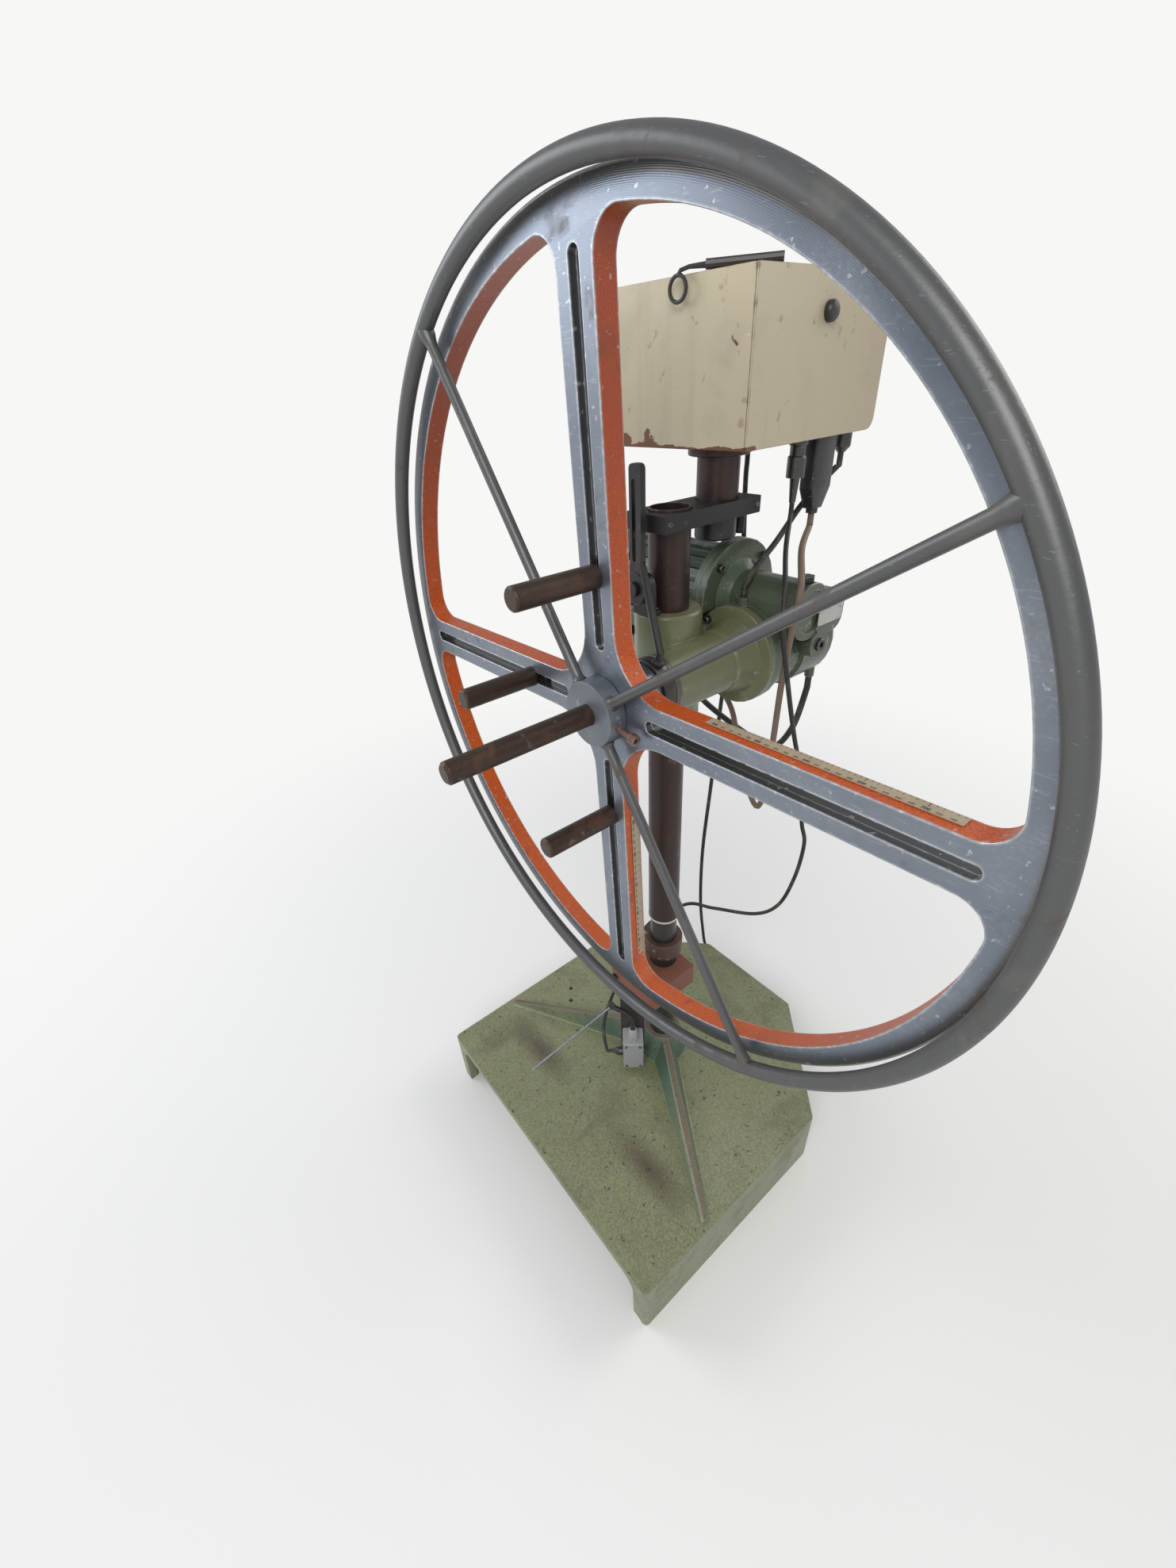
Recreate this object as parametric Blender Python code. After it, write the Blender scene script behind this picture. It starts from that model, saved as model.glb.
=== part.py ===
"""Strip decoiler: a slotted coil reel on a motor-driven spindle, carried by a column stand.

Frame: metres, +Z up, origin on the floor at the column's axis, the reel's face towards -Y.
"""

import math

import bmesh
import bpy
from mathutils import Vector

# Fits shared by all pieces
SEAT_GAP = 0.0003
RUNNING_GAP = 0.00005
SLIDE_GAP = 0.00008
OVERRUN = 0.003
EDGE = 0.001
TURN = 2 * math.pi
SMOOTH_ANGLE = math.radians(34)

# Places of the main axes
SPINDLE_X = 0.0521
SPINDLE_Z = 0.9326
WORM_Y = 0.1150
WORM_RISE = 0.0594
WORM_Z = SPINDLE_Z + WORM_RISE

# Spindle
SPINDLE_RADIUS = 0.0125
SPINDLE_FRONT_Y = -0.3520
SPINDLE_REAR_Y = 0.1760
SPINDLE_CHAMFER = 0.0030

# Reel casting
REEL_RADIUS = 0.4400
REEL_FACE_Y = -0.1510
REEL_BACK_Y = -0.1260
REEL_EDGE = 0.0036
ROUNDING_SHARE = 0.3
RIM_WIDTH = 0.0231
RIM_INNER_RADIUS = REEL_RADIUS - RIM_WIDTH
SPOKE_HALF_WIDTH = 0.0245
SPOKE_TILT = math.radians(2.03)
SPOKE_COUNT = 4
WINDOW_CORNER_RADIUS = 0.0270
HUB_FLARE_RADIUS = 0.0650
SLOT_INNER_RADIUS = 0.0740
SLOT_END_INSET = 0.0465
SLOT_OUTER_RADIUS = REEL_RADIUS - SLOT_END_INSET
SLOT_HALF_WIDTH = 0.0068
SLOT_LEDGE_HALF_WIDTH = 0.0110
SLOT_LIP = 0.0100
REEL_BOSS_RADIUS = 0.0330
REEL_BOSS_ROOT_RADIUS = 0.0420
REEL_BOSS_FILLET = 0.0080
REEL_BOSS_BACK_Y = -0.0913

# Brake drum behind the reel
DRUM_RADIUS = 0.0380
DRUM_FRONT_Y = -0.0910
DRUM_BACK_Y = -0.0730
DRUM_SPACER_RADIUS = 0.0165
BEARING_FRONT_Y = -0.0690

# Steel rules on two spokes
RULE_START_RADIUS = 0.1400
RULE_END_INSET = 0.0620
RULE_END_RADIUS = REEL_RADIUS - RULE_END_INSET
RULE_THICKNESS = 0.0010
RULE_WIDTH = 0.0120
RULE_CENTRE_Y = -0.1345

# Coil pins, each with a T-nut behind the slot's lip
PIN_RADIUS = 0.0125
PIN_LENGTH = 0.1005
PIN_CHAMFER = 0.0020
PIN_SHANK_RADIUS = 0.0060
PIN_CIRCLE_RADIUS = 0.1440
NUT_HALF_WIDTH = 0.0105
NUT_HALF_LENGTH = 0.0150
NUT_THICKNESS = 0.0090

# Guard ring that keeps the strip on the reel
GUARD_RADIUS = 0.4449
GUARD_TUBE_RADIUS = 0.0090
GUARD_CENTRE_Y = -0.1660
GUARD_ROD_RADIUS = 0.0060
GUARD_ROD_ANGLES = [math.radians(a) for a in (34.3, 125.3, 304.5)]
GUARD_HUB_RADIUS = 0.0380
GUARD_HUB_FRONT_Y = -0.1745
GUARD_SCREW_ANGLE = math.radians(-10)
GUARD_SCREW_RADIUS = 0.0040
GUARD_SCREW_INNER_RADIUS = 0.0180
GUARD_SCREW_OUTER_RADIUS = 0.0590
GUARD_SCREW_HEAD_RADIUS = 0.0065
GUARD_SCREW_HEAD_LENGTH = 0.0080
GUARD_SCREW_SOCKET_RADIUS = 0.0035
GUARD_SCREW_SOCKET_DEPTH = 0.0045

# Head casting: spindle barrel and column sleeve in one piece
BARREL_RADIUS = 0.0380
BARREL_FRONT_Y = DRUM_BACK_Y + SEAT_GAP
BARREL_BACK_Y = 0.0300
BARREL_RING_RADIUS = 0.0405
BARREL_RING_LENGTH = 0.0090
BARREL_BORE_RADIUS = 0.0200
BARREL_FLANGE_RADIUS = 0.0630
BARREL_FLANGE_FRONT_Y = 0.0616
BARREL_FLANGE_BACK_Y = 0.0720
BARREL_CONE_RADIUS = 0.0480
BEARING_RADIUS = 0.0260
BEARING_WIDTH = 0.0150
BEARING_REAR_Y = 0.0310
BEARING_SEAL_STEP = 0.0020
BEARING_SEAL_DEPTH = 0.0010
SLEEVE_RADIUS = 0.0423
SLEEVE_DROP = 0.0776
SLEEVE_RISE = 0.0674
SLEEVE_BOTTOM_Z = SPINDLE_Z - SLEEVE_DROP
SLEEVE_TOP_Z = SPINDLE_Z + SLEEVE_RISE
SLEEVE_FILLET = 0.0030
LUG_REACH = 0.0640
LUG_HALF_WIDTH = 0.0150
LUG_END_INSET = 0.0150
LUG_BOTTOM_Z = SLEEVE_BOTTOM_Z + LUG_END_INSET
LUG_TOP_Z = SLEEVE_TOP_Z - LUG_END_INSET
LUG_SCREW_RADIUS = 0.0043
LUG_SCREW_INSET = 0.0130
LUG_SCREW_END_INSET = 0.0220
CLAMP_SLIT = 0.0025

# Gear housing on the spindle axis, worm tube and motor flange across it
HOUSING_RADIUS = 0.0600
HOUSING_FRONT_Y = BARREL_FLANGE_BACK_Y + SEAT_GAP
HOUSING_FLANGE_BACK_Y = 0.0830
HOUSING_NECK_RADIUS = 0.0560
HOUSING_STEP_Y = 0.1350
HOUSING_BACK_Y = 0.1850
HOUSING_CAVITY_RADIUS = 0.0520
HOUSING_CAVITY_FRONT_Y = 0.0920
HOUSING_BORE_RADIUS = 0.0180
TUBE_RADIUS = 0.0348
TUBE_END_X = 0.1260
TUBE_BORE_RADIUS = 0.0200
TUBE_BORE_END_X = 0.1140
TUBE_CAP_RADIUS = 0.0260
TUBE_CAP_DEPTH = 0.0020
FLANGE_RADIUS = 0.0700
FLANGE_X = 0.0050
FLANGE_THICKNESS = 0.0100
FLANGE_RELIEF_LENGTH = 0.0350
FLANGE_CONE_RADIUS = 0.0460
FLANGE_CONE_LENGTH = 0.0120
BOSS_RADIUS = 0.0180
BOSS_X = 0.1280
BOSS_Y = 0.1390
BOSS_RISE = 0.0134
BOSS_Z = SPINDLE_Z + BOSS_RISE
BOSS_SCREW_RADIUS = 0.0085
BOSS_SCREW_DEPTH = 0.0050
PAD_X = 0.1280
PAD_FRONT_Y = 0.1260
PAD_BACK_Y = 0.1810
PAD_DROP = 0.0340
PAD_RISE = 0.0180
PAD_BOTTOM_Z = WORM_Z - PAD_DROP
PAD_TOP_Z = WORM_Z + PAD_RISE
PAD_CORNER_RADIUS = 0.0180
PAD_ROOT_X = 0.0900
CABLE_BOSS_RADIUS = 0.0085
CABLE_BOSS_Y = 0.0776
CABLE_BOSS_TOP = 0.0720

# Gear cover with the loop cable's spigot
COVER_BACK_Y = 0.2030
COVER_EDGE = 0.0080
COVER_SPIGOT_LENGTH = 0.0050
COVER_CABLE_X = 0.0860
COVER_CABLE_Y = 0.1940
COVER_CABLE_DROP = 0.0326
COVER_CABLE_LENGTH = 0.0260
COVER_CABLE_TOP_Z = SPINDLE_Z - COVER_CABLE_DROP
COVER_CABLE_BOTTOM_Z = COVER_CABLE_TOP_Z - COVER_CABLE_LENGTH

# Oil plug on top of the worm tube
OIL_PLUG_X = 0.1140
OIL_PLUG_RADIUS = 0.0095
OIL_PLUG_HEIGHT = 0.0085
OIL_PLUG_SHANK_RADIUS = 0.0055
OIL_PLUG_SHANK_LENGTH = 0.0075

# Worm gear
WORM_PITCH = 0.0092153
WORM_TURNS = 4
WORM_ROOT_RADIUS = 0.0119
WORM_TIP_RADIUS = 0.0180
WORM_ROOT_HALF = 0.0032
WORM_TIP_HALF = 0.0010
WORM_SHOULDER = 0.0025
WORM_JOURNAL_RADIUS = 0.0085
WORM_STEPS = 16
WORM_START_SHARE = 0.75
WHEEL_TEETH = 30
WHEEL_PITCH_RADIUS = 0.0440
WHEEL_TIP_RADIUS = 0.0470
WHEEL_ROOT_RADIUS = 0.0405
WHEEL_TIP_HALF = 0.0011
WHEEL_ROOT_HALF = 0.0029
WHEEL_HALF_WIDTH = 0.0120
WHEEL_HUB_RADIUS = 0.0210
WHEEL_HUB_HALF_WIDTH = 0.0180
WORM_BEARING_RADIUS = 0.0200
WORM_BEARING_WIDTH = 0.0110
WORM_BEARING_LEFT_X = 0.0100
WORM_BEARING_RIGHT_X = 0.0950

# Motor
MOTOR_END_X = -0.1680
MOTOR_RADIUS = 0.0525
MOTOR_FIN_RADIUS = 0.0585
MOTOR_FIN_COUNT = 20
MOTOR_FIN_SHARE = 0.42
MOTOR_FIN_PHASE_SHARE = 0.29
MOTOR_FIN_SLOPE_SHARE = 0.06
MOTOR_FIN_START = 0.0180
MOTOR_NECK_RADIUS = 0.0550
MOTOR_BORE_RADIUS = 0.0345
MOTOR_SHIELD = 0.0160
MOTOR_PAD_HALF_WIDTH = 0.0280
MOTOR_PAD_DROP = 0.0620
ROTOR_RADIUS = 0.0340
ROTOR_LEFT_X = -0.1400
ROTOR_RIGHT_X = -0.0350
MOTOR_SHAFT_END_X = -0.1950
COWL_END_X = -0.2110
COWL_RADIUS = 0.0590
COWL_WALL = 0.0020
COWL_SLOT_COUNT = 6
COWL_SLOT_INNER_RADIUS = 0.0140
COWL_SLOT_OUTER_RADIUS = 0.0440
COWL_SLOT_WIDTH = 0.0070
SLOT_ROUND_SHARE = 0.9
TERMINAL_LEFT_X = -0.1250
TERMINAL_RIGHT_X = -0.0350
TERMINAL_HALF_DEPTH = 0.0360
TERMINAL_TOP_DROP = 0.0623
TERMINAL_HEIGHT = 0.0340
TERMINAL_CORNER = 0.0080
SPIGOT_RADIUS = 0.0090
SPIGOT_LENGTH = 0.0160
HOSE_SPIGOT_X = -0.0600
LOOP_SPIGOT_X = -0.1000

# Brake lever on a bracket that stands on the sleeve
LEVER_AXIS_RISE = 0.0340
LEVER_AXIS_Z = SLEEVE_TOP_Z + LEVER_AXIS_RISE
BRACKET_FRONT_Y = -0.0437
BRACKET_THICKNESS = 0.0080
BRACKET_HALF_WIDTH = 0.0160
BRACKET_FOOT_THICKNESS = 0.0060
BRACKET_FOOT_REAR_Y = -0.0285
LEVER_FRONT_Y = -0.0560
LEVER_BACK_Y = -0.0440
LEVER_HUB_RADIUS = 0.0185
LEVER_HALF_WIDTH = 0.0090
LEVER_ROUND_SHARE = 0.6
LEVER_LENGTH = 0.1310
LEVER_TOP_Z = LEVER_AXIS_Z + LEVER_LENGTH
LEVER_SLOT_HALF_WIDTH = 0.0030
LEVER_SLOT_X = -0.0020
LEVER_SLOT_START = 0.0300
LEVER_SLOT_END_INSET = 0.0150
LEVER_SLOT_BOTTOM_Z = LEVER_AXIS_Z + LEVER_SLOT_START
LEVER_SLOT_TOP_Z = LEVER_TOP_Z - LEVER_SLOT_END_INSET
PIVOT_RADIUS = 0.0050
PIVOT_HEAD_RADIUS = 0.0085
PIVOT_HEAD_LENGTH = 0.0050
BRAKE_ROD_RADIUS = 0.0045
BRAKE_PAD_Y = -0.0815
BRAKE_ROD_X = 0.0060
BRAKE_ROD_Y = -0.0500
BRAKE_FOOT_SIDE = 0.0179
BRAKE_FOOT_RISE = 0.0484
BRAKE_ROD_TOP = (BRAKE_ROD_X, BRAKE_ROD_Y, LEVER_SLOT_BOTTOM_Z)
BRAKE_ROD_FOOT = (SPINDLE_X + BRAKE_FOOT_SIDE, BRAKE_PAD_Y, SPINDLE_Z + BRAKE_FOOT_RISE)
BRAKE_PAD_RADIUS = 0.0080
BRAKE_PAD_THICKNESS = 0.0060
PAD_STRAIGHT_SHARE = 0.6

# Column, post and their fittings
COLUMN_RADIUS = 0.0250
COLUMN_INNER_RADIUS = 0.0225
COLUMN_BOTTOM_Z = 0.4783
COLUMN_RISE = 0.1829
COLUMN_TOP_Z = SPINDLE_Z + COLUMN_RISE
POST_RADIUS = 0.0221
POST_TOP_Z = 0.6200
END_RING_RADIUS = 0.0256
END_RING_BOTTOM_Z = 0.4745
COLLAR_RADIUS = 0.0330
COLLAR_BOTTOM_Z = 0.3940
COLLAR_TOP_Z = 0.4260
COLLAR_SLIT = 0.0030
FOOT_BRACKET_HALF_WIDTH = 0.0500
FOOT_BRACKET_FRONT_Y = -0.0800
FOOT_BRACKET_REAR_Y = 0.0290
FOOT_BRACKET_BOTTOM_Z = 0.3240
FOOT_BRACKET_TOP_Z = 0.3660
FOOT_BRACKET_CORNER = 0.0040

# Limit switch below the foot bracket
SWITCH_X = 0.0133
SWITCH_Y = -0.0872
SWITCH_YAW = math.radians(49.2)
SWITCH_HALF_WIDTH = 0.0190
SWITCH_DEPTH = 0.0380
SWITCH_BOTTOM_Z = 0.1350
SWITCH_TOP_Z = 0.2050
SWITCH_CORNER = 0.0030
HANGER_HALF_WIDTH = 0.0220
HANGER_THICKNESS = 0.0040
HANGER_FOOT = 0.0260
HANGER_BEND = 0.0060
HANGER_BOTTOM_Z = 0.1380
STICK_DEPTH = 0.0140
STICK_HEAD_RADIUS = 0.0100
STICK_NUT_TOP_Z = 0.2170
STICK_HEAD_TOP_Z = 0.2360
STICK_NECK_RADIUS = 0.0060
STICK_RADIUS = 0.0045
STICK_PIVOT_Z = 0.2340
STICK_BORE_RADIUS = 0.0052
SWITCH_GLAND_Z = 0.1600
SWITCH_GLAND_RADIUS = 0.0080
SWITCH_GLAND_LENGTH = 0.0180
FEELER_ROD_RADIUS = 0.0018
FEELER_CAP_RADIUS = 0.0060
FEELER_KNEE_SHARE = 0.6
FEELER_ELBOW = (-0.0120, -0.0060, 0.0400)
FEELER_BEND = (-0.0357, -0.0180, 0.0460)
FEELER_TIP = (-0.0537, -0.1869, 0.0010)

# Base casting
BASE_HEIGHT = 0.1200
BASE_HALF_WIDTH = 0.2850
BASE_FRONT_Y = -0.3110
BASE_SHOULDER_Y = 0.0950
BASE_REAR_Y = 0.2610
BASE_REAR_HALF_WIDTH = 0.1100
BASE_WALL = 0.0160
BASE_CORNER = 0.0080
ARCH_LEG_WIDTH = 0.0280
ARCH_RADIUS = 0.0250
BOSS_FOOT_RADIUS = 0.0480
BOSS_TOP_RADIUS = 0.0325
BOSS_TOP_Z = 0.1750
SOCKET_FLOOR_Z = 0.0200
RIB_TIP_X = 0.2750
RIB_TIP_Y = -0.1720
RIB_START = 0.0280
RIB_RISE = 0.0530
RIB_TIP_RISE = 0.0030
RIB_ROOT_HALF_WIDTH = 0.0240
RIB_RIDGE_HALF_WIDTH = 0.0060
RIB_TIP_HALF_WIDTH = 0.0100
RIB_TIP_RIDGE_HALF_WIDTH = 0.0040
BASE_HOLE_RADIUS = 0.0045
BASE_HOLES = [(-0.2229, -0.0590), (-0.1980, -0.0780)]

# Clamp plate and upper tube that carry the control box
PLATE_HALF_WIDTH = 0.0320
PLATE_FRONT_Y = -0.0390
PLATE_REAR_Y = 0.1240
PLATE_THICKNESS = 0.0190
PLATE_INSET = 0.0025
PLATE_TOP_Z = COLUMN_TOP_Z - PLATE_INSET
PLATE_BOTTOM_Z = PLATE_TOP_Z - PLATE_THICKNESS
PLATE_CORNER = 0.0030
UPPER_TUBE_Y = 0.0790
UPPER_TUBE_WALL = 0.0030
UPPER_TUBE_RISE = 0.0470
UPPER_TUBE_TOP_Z = PLATE_TOP_Z + UPPER_TUBE_RISE
TOP_FLANGE_RADIUS = 0.0360
TOP_FLANGE_THICKNESS = 0.0082
PLUG_DROP = 0.0260
PLUG_BOTTOM_Z = PLATE_BOTTOM_Z - PLUG_DROP
PLUG_RADIUS = 0.0252
PLUG_SPIGOT_LENGTH = 0.0110
STUD_X = 0.0100
STUD_Y = 0.1130
STUD_RADIUS = 0.0060
STUD_DROP = 0.0250
STUD_BOTTOM_Z = PLATE_BOTTOM_Z - STUD_DROP

# Control box
BOX_X = 0.0710
BOX_Y = 0.0390
BOX_Z = UPPER_TUBE_TOP_Z + TOP_FLANGE_THICKNESS + SEAT_GAP
BOX_YAW = math.radians(2.5)
BOX_WIDTH = 0.2300
BOX_DEPTH = 0.2570
BOX_HEIGHT = 0.1555
BOX_WALL = 0.0020
BOX_EDGE = 0.0030
DOOR_THICKNESS = 0.0025
DOOR_CORNER = 0.0140
KNOB_Y = 0.1250
KNOB_Z = 0.1185
KNOB_RADIUS = 0.0100
KNOB_THICKNESS = 0.0090
KNOB_DOME_SHARES = ((1.0, 0.6), (0.8, 0.9), (0.4, 1.0))
KNOB_SHANK_RADIUS = 0.0040
KNOB_SHANK_LENGTH = 0.0100
TRANSFORMER_X = -0.1500
TRANSFORMER_Y = 0.1000
TRANSFORMER_HALF_WIDTH = 0.0380
TRANSFORMER_HALF_DEPTH = 0.0220
TRANSFORMER_HEIGHT = 0.0640
COIL_HALF_WIDTH = 0.0240
COIL_HALF_DEPTH = 0.0340
COIL_HALF_HEIGHT = 0.0200
BOARD_WIDTH = 0.1500
BOARD_HEIGHT = 0.1150
BOARD_THICKNESS = 0.0016
BOARD_STANDOFF = 0.0080
BOARD_STANDOFF_RADIUS = 0.0030
BOARD_INSET = 0.0080
BOARD_FOOT_RISE = 0.0200
BOARD_LEFT_INSET = 0.0350
RELAY_WIDTH = 0.0220
RELAY_DEPTH = 0.0180
RELAY_HEIGHT = 0.0280
RELAY_COUNT = 4
RING_X = -0.0920
RING_Y = -0.0080
RING_Z = 0.1440
RING_RADIUS = 0.0110
RING_WIRE_RADIUS = 0.0020
BAR_RADIUS = 0.0045
BAR_NECK_SHARE = 0.7
BAR_START_X = -0.0600
BAR_START_Y = 0.0060
BAR_END_X = -0.0040
BAR_END_Y = 0.0430

# Connectors under the control box
CONNECTOR_X = 0.0480
SENSOR_PLUG_Y = 0.1625
SENSOR_PLUG_RADIUS = 0.0110
SENSOR_PLUG_LENGTH = 0.0400
SENSOR_WAIST_SHARES = ((1.0, 0.12), (0.84, 0.16), (0.84, 0.4), (1.0, 0.45))
SENSOR_BOOT_RADIUS = 0.0060
SENSOR_BOOT_END_RADIUS = 0.0038
SENSOR_BOOT_LENGTH = 0.0280
HOOD_Y = 0.2060
HOOD_HALF_WIDTH = 0.0100
HOOD_HALF_DEPTH = 0.0200
HOOD_LENGTH = 0.0560
HOOD_TAPER_LENGTH = 0.0240
HOOD_END_SHARE = 0.52
HOOD_SIDE_SHARE = 0.8
HOOD_NUT_RADIUS = 0.0080
HOOD_NUT_LENGTH = 0.0060
THIRD_PLUG_Y = 0.2530
THIRD_PLUG_RADIUS = 0.0105
THIRD_PLUG_LENGTH = 0.0220
THIRD_BODY_SHARE = 0.7
MAINS_GLAND_X = -0.0800
MAINS_GLAND_Y = 0.2300
GLAND_NUT_RADIUS = 0.0100
GLAND_LENGTH = 0.0240
GLAND_END_RADIUS = 0.0060
GLAND_NECK_SHARE = 0.8
GLAND_NECK_SHARES = (0.25, 0.6)

# Cables: radius of each, and the points their routes pass
SENSOR_CABLE_RADIUS = 0.0030
HOSE_RADIUS = 0.0040
ENCODER_CABLE_RADIUS = 0.0037
LOOP_CABLE_RADIUS = 0.0045
MAINS_CABLE_RADIUS = 0.0035
SENSOR_ROUTE = [(0.0480, 0.1600, 1.0900), (0.0800, 0.1150, 1.0600), (0.1180, 0.0676, 1.0319),
                (0.1325, 0.0535, 0.9850), (0.1430, 0.0585, 0.9263), (0.1425, 0.0890, 0.8416),
                (0.1440, 0.1200, 0.7600), (0.1437, 0.1400, 0.6745), (0.1476, 0.1500, 0.6308),
                (0.1420, 0.1480, 0.5600), (0.1177, 0.1527, 0.4800), (0.0756, 0.1500, 0.4300),
                (0.0190, 0.1075, 0.4300), (-0.0250, 0.0800, 0.4250), (-0.0750, 0.0300, 0.3650),
                (-0.0820, -0.0300, 0.2700), (-0.0690, -0.0880, 0.1950)]
HOSE_ROUTE = [(0.0480, 0.2050, 1.0650), (0.0850, 0.1400, 1.0550), (0.1310, 0.0790, 1.0323),
              (0.1310, 0.0735, 0.9940), (0.1270, 0.0710, 0.9186), (0.1186, 0.0800, 0.8320),
              (0.1080, 0.0920, 0.7500), (0.0921, 0.1000, 0.6960), (0.0650, 0.1080, 0.7150),
              (0.0330, 0.1160, 0.7800), (0.0115, 0.1200, 0.8260), (-0.0250, 0.1180, 0.8600)]
ENCODER_ROUTE = [(0.0470, 0.2500, 1.1300), (0.0330, 0.2300, 1.1050), (0.0290, 0.2050, 1.0850),
                 (0.0400, 0.1500, 1.0560), (0.0500, 0.1000, 1.0350), (0.0520, 0.0820, 1.0200)]
LOOP_ROUTE = [(0.0850, 0.1920, 0.8600), (0.0780, 0.1820, 0.7900), (0.0500, 0.1750, 0.7500),
              (0.0000, 0.1700, 0.7600), (-0.0600, 0.1450, 0.8000), (-0.0950, 0.1220, 0.8500)]
MAINS_ROUTE = [(-0.0800, 0.2300, 1.1000), (-0.0700, 0.2250, 0.9500), (-0.0820, 0.2150, 0.8000),
               (-0.0950, 0.2150, 0.6000), (-0.1150, 0.2250, 0.4200), (-0.1360, 0.2520, 0.2500),
               (-0.1520, 0.2850, 0.1200), (-0.1500, 0.2970, 0.0560), (-0.1250, 0.3020, 0.0150),
               (-0.0900, 0.3030, 0.0052), (-0.0620, 0.3010, 0.0110)]
CORD_GAP = 0.0003
CORD_ENTRY = 0.0030
CORD_BORE_DEPTH = 0.0095
CORD_STEP_SHARE = 6.0
CORD_LEAD_SHARE = 4.0
DOWN = (0, 0, -1)
UP = (0, 0, 1)
PLUG_START = (-0.0320, 0.3000, 0.0174)
PLUG_YAW = 0
PLUG_BODY_RADIUS = 0.0170
PLUG_BODY_LENGTH = 0.0360
PLUG_NECK_RADIUS = 0.0060
PLUG_NECK_LENGTH = 0.0200
PLUG_PRONG_RADIUS = 0.0022
PLUG_PRONG_LENGTH = 0.0180
PLUG_PRONG_SPACING = 0.0190

# Facets round each kind of circle
FINE = 60
GUARD_SEGMENTS = 52
ROUND = 28
SMALL = 16
TINY = 10

# Finishes: colour, roughness, metallic
ALUMINIUM = ((0.62, 0.65, 0.72), 0.42, 0.9)
DARK_STEEL = ((0.16, 0.13, 0.12), 0.55, 0.8)
RUSTY_STEEL = ((0.20, 0.13, 0.11), 0.62, 0.7)
BRIGHT_STEEL = ((0.60, 0.60, 0.58), 0.30, 1.0)
GREY_STEEL = ((0.36, 0.39, 0.44), 0.45, 0.8)
OLIVE_PAINT = ((0.33, 0.34, 0.20), 0.45, 0.0)
GREEN_PAINT = ((0.20, 0.26, 0.19), 0.42, 0.0)
CREAM_PAINT = ((0.62, 0.57, 0.45), 0.45, 0.0)
BLACK_PAINT = ((0.03, 0.03, 0.03), 0.45, 0.0)
RED_PAINT = ((0.30, 0.10, 0.07), 0.55, 0.0)
BRONZE = ((0.62, 0.42, 0.20), 0.35, 1.0)
BLACK_RUBBER = ((0.03, 0.03, 0.03), 0.70, 0.0)
BEIGE_RUBBER = ((0.40, 0.31, 0.22), 0.60, 0.0)
BLACK_PLASTIC = ((0.04, 0.04, 0.04), 0.40, 0.0)
WHITE_PLASTIC = ((0.72, 0.70, 0.64), 0.50, 0.0)
RULE_STEEL = ((0.62, 0.56, 0.42), 0.45, 0.3)
BOARD_GREEN = ((0.05, 0.24, 0.12), 0.40, 0.0)


def circle(radius, segments, centre=(0, 0), start=0.0):
    """Points of a circle, counter-clockwise."""
    points = []
    for i in range(segments):
        angle = start + TURN * i / segments
        points.append((centre[0] + radius * math.cos(angle), centre[1] + radius * math.sin(angle)))
    return points


def arc(centre, radius, first, last, steps):
    """Points of an arc from the first angle to the last, both ends included."""
    points = []
    for i in range(steps + 1):
        angle = first + (last - first) * i / steps
        points.append((centre[0] + radius * math.cos(angle), centre[1] + radius * math.sin(angle)))
    return points


def rounded(corners, radius, steps):
    """Replaces each corner of a convex outline by an arc that touches both of its sides."""
    points = []
    count = len(corners)
    for i in range(count):
        before = Vector(corners[i - 1])
        corner = Vector(corners[i])
        after = Vector(corners[(i + 1) % count])
        inward = (before - corner).normalized()
        outward = (after - corner).normalized()
        half = 0.5 * inward.angle(outward)
        centre = corner + (inward + outward).normalized() * (radius / math.sin(half))
        start = corner + inward * (radius / math.tan(half)) - centre
        end = corner + outward * (radius / math.tan(half)) - centre
        first = math.atan2(start.y, start.x)
        sweep = (math.atan2(end.y, end.x) - first + math.pi) % TURN - math.pi
        points.extend(arc(centre, radius, first, first + sweep, steps))
    return points


def rectangle(low, high, radius=0.0, steps=2):
    """A rectangle's outline between two corners, with rounded corners where a radius is given."""
    corners = [(low[0], low[1]), (high[0], low[1]), (high[0], high[1]), (low[0], high[1])]
    if radius == 0:
        return corners
    return rounded(corners, radius, steps)


def inset(corners, distance):
    """Moves each side of a convex counter-clockwise outline inwards by one distance."""
    points = []
    count = len(corners)
    for i in range(count):
        before = Vector(corners[i - 1])
        corner = Vector(corners[i])
        after = Vector(corners[(i + 1) % count])
        first = (corner - before).normalized()
        second = (after - corner).normalized()
        normal = Vector((-first.y, first.x)) + Vector((-second.y, second.x))
        share = distance / (0.5 * normal.length_squared)
        points.append(tuple(corner + normal * share))
    return points


def bore(shaft_radius, gap, segments):
    """Vertex radius of a faceted bore whose flats stay one gap clear of a shaft."""
    return (shaft_radius + gap) / math.cos(math.pi / segments)


def along(axis, first, second, height):
    """Puts a plane point and a height onto the named axis."""
    if axis == "X":
        return (height, first, second)
    if axis == "Y":
        return (first, height, second)
    return (first, second, height)


def new_object(bm):
    """Turns a bmesh into an object whose faces point outwards."""
    bmesh.ops.recalc_face_normals(bm, faces=bm.faces)
    mesh = bpy.data.meshes.new("form")
    bm.to_mesh(mesh)
    bm.free()
    piece = bpy.data.objects.new("form", mesh)
    bpy.context.collection.objects.link(piece)
    return piece


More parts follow.
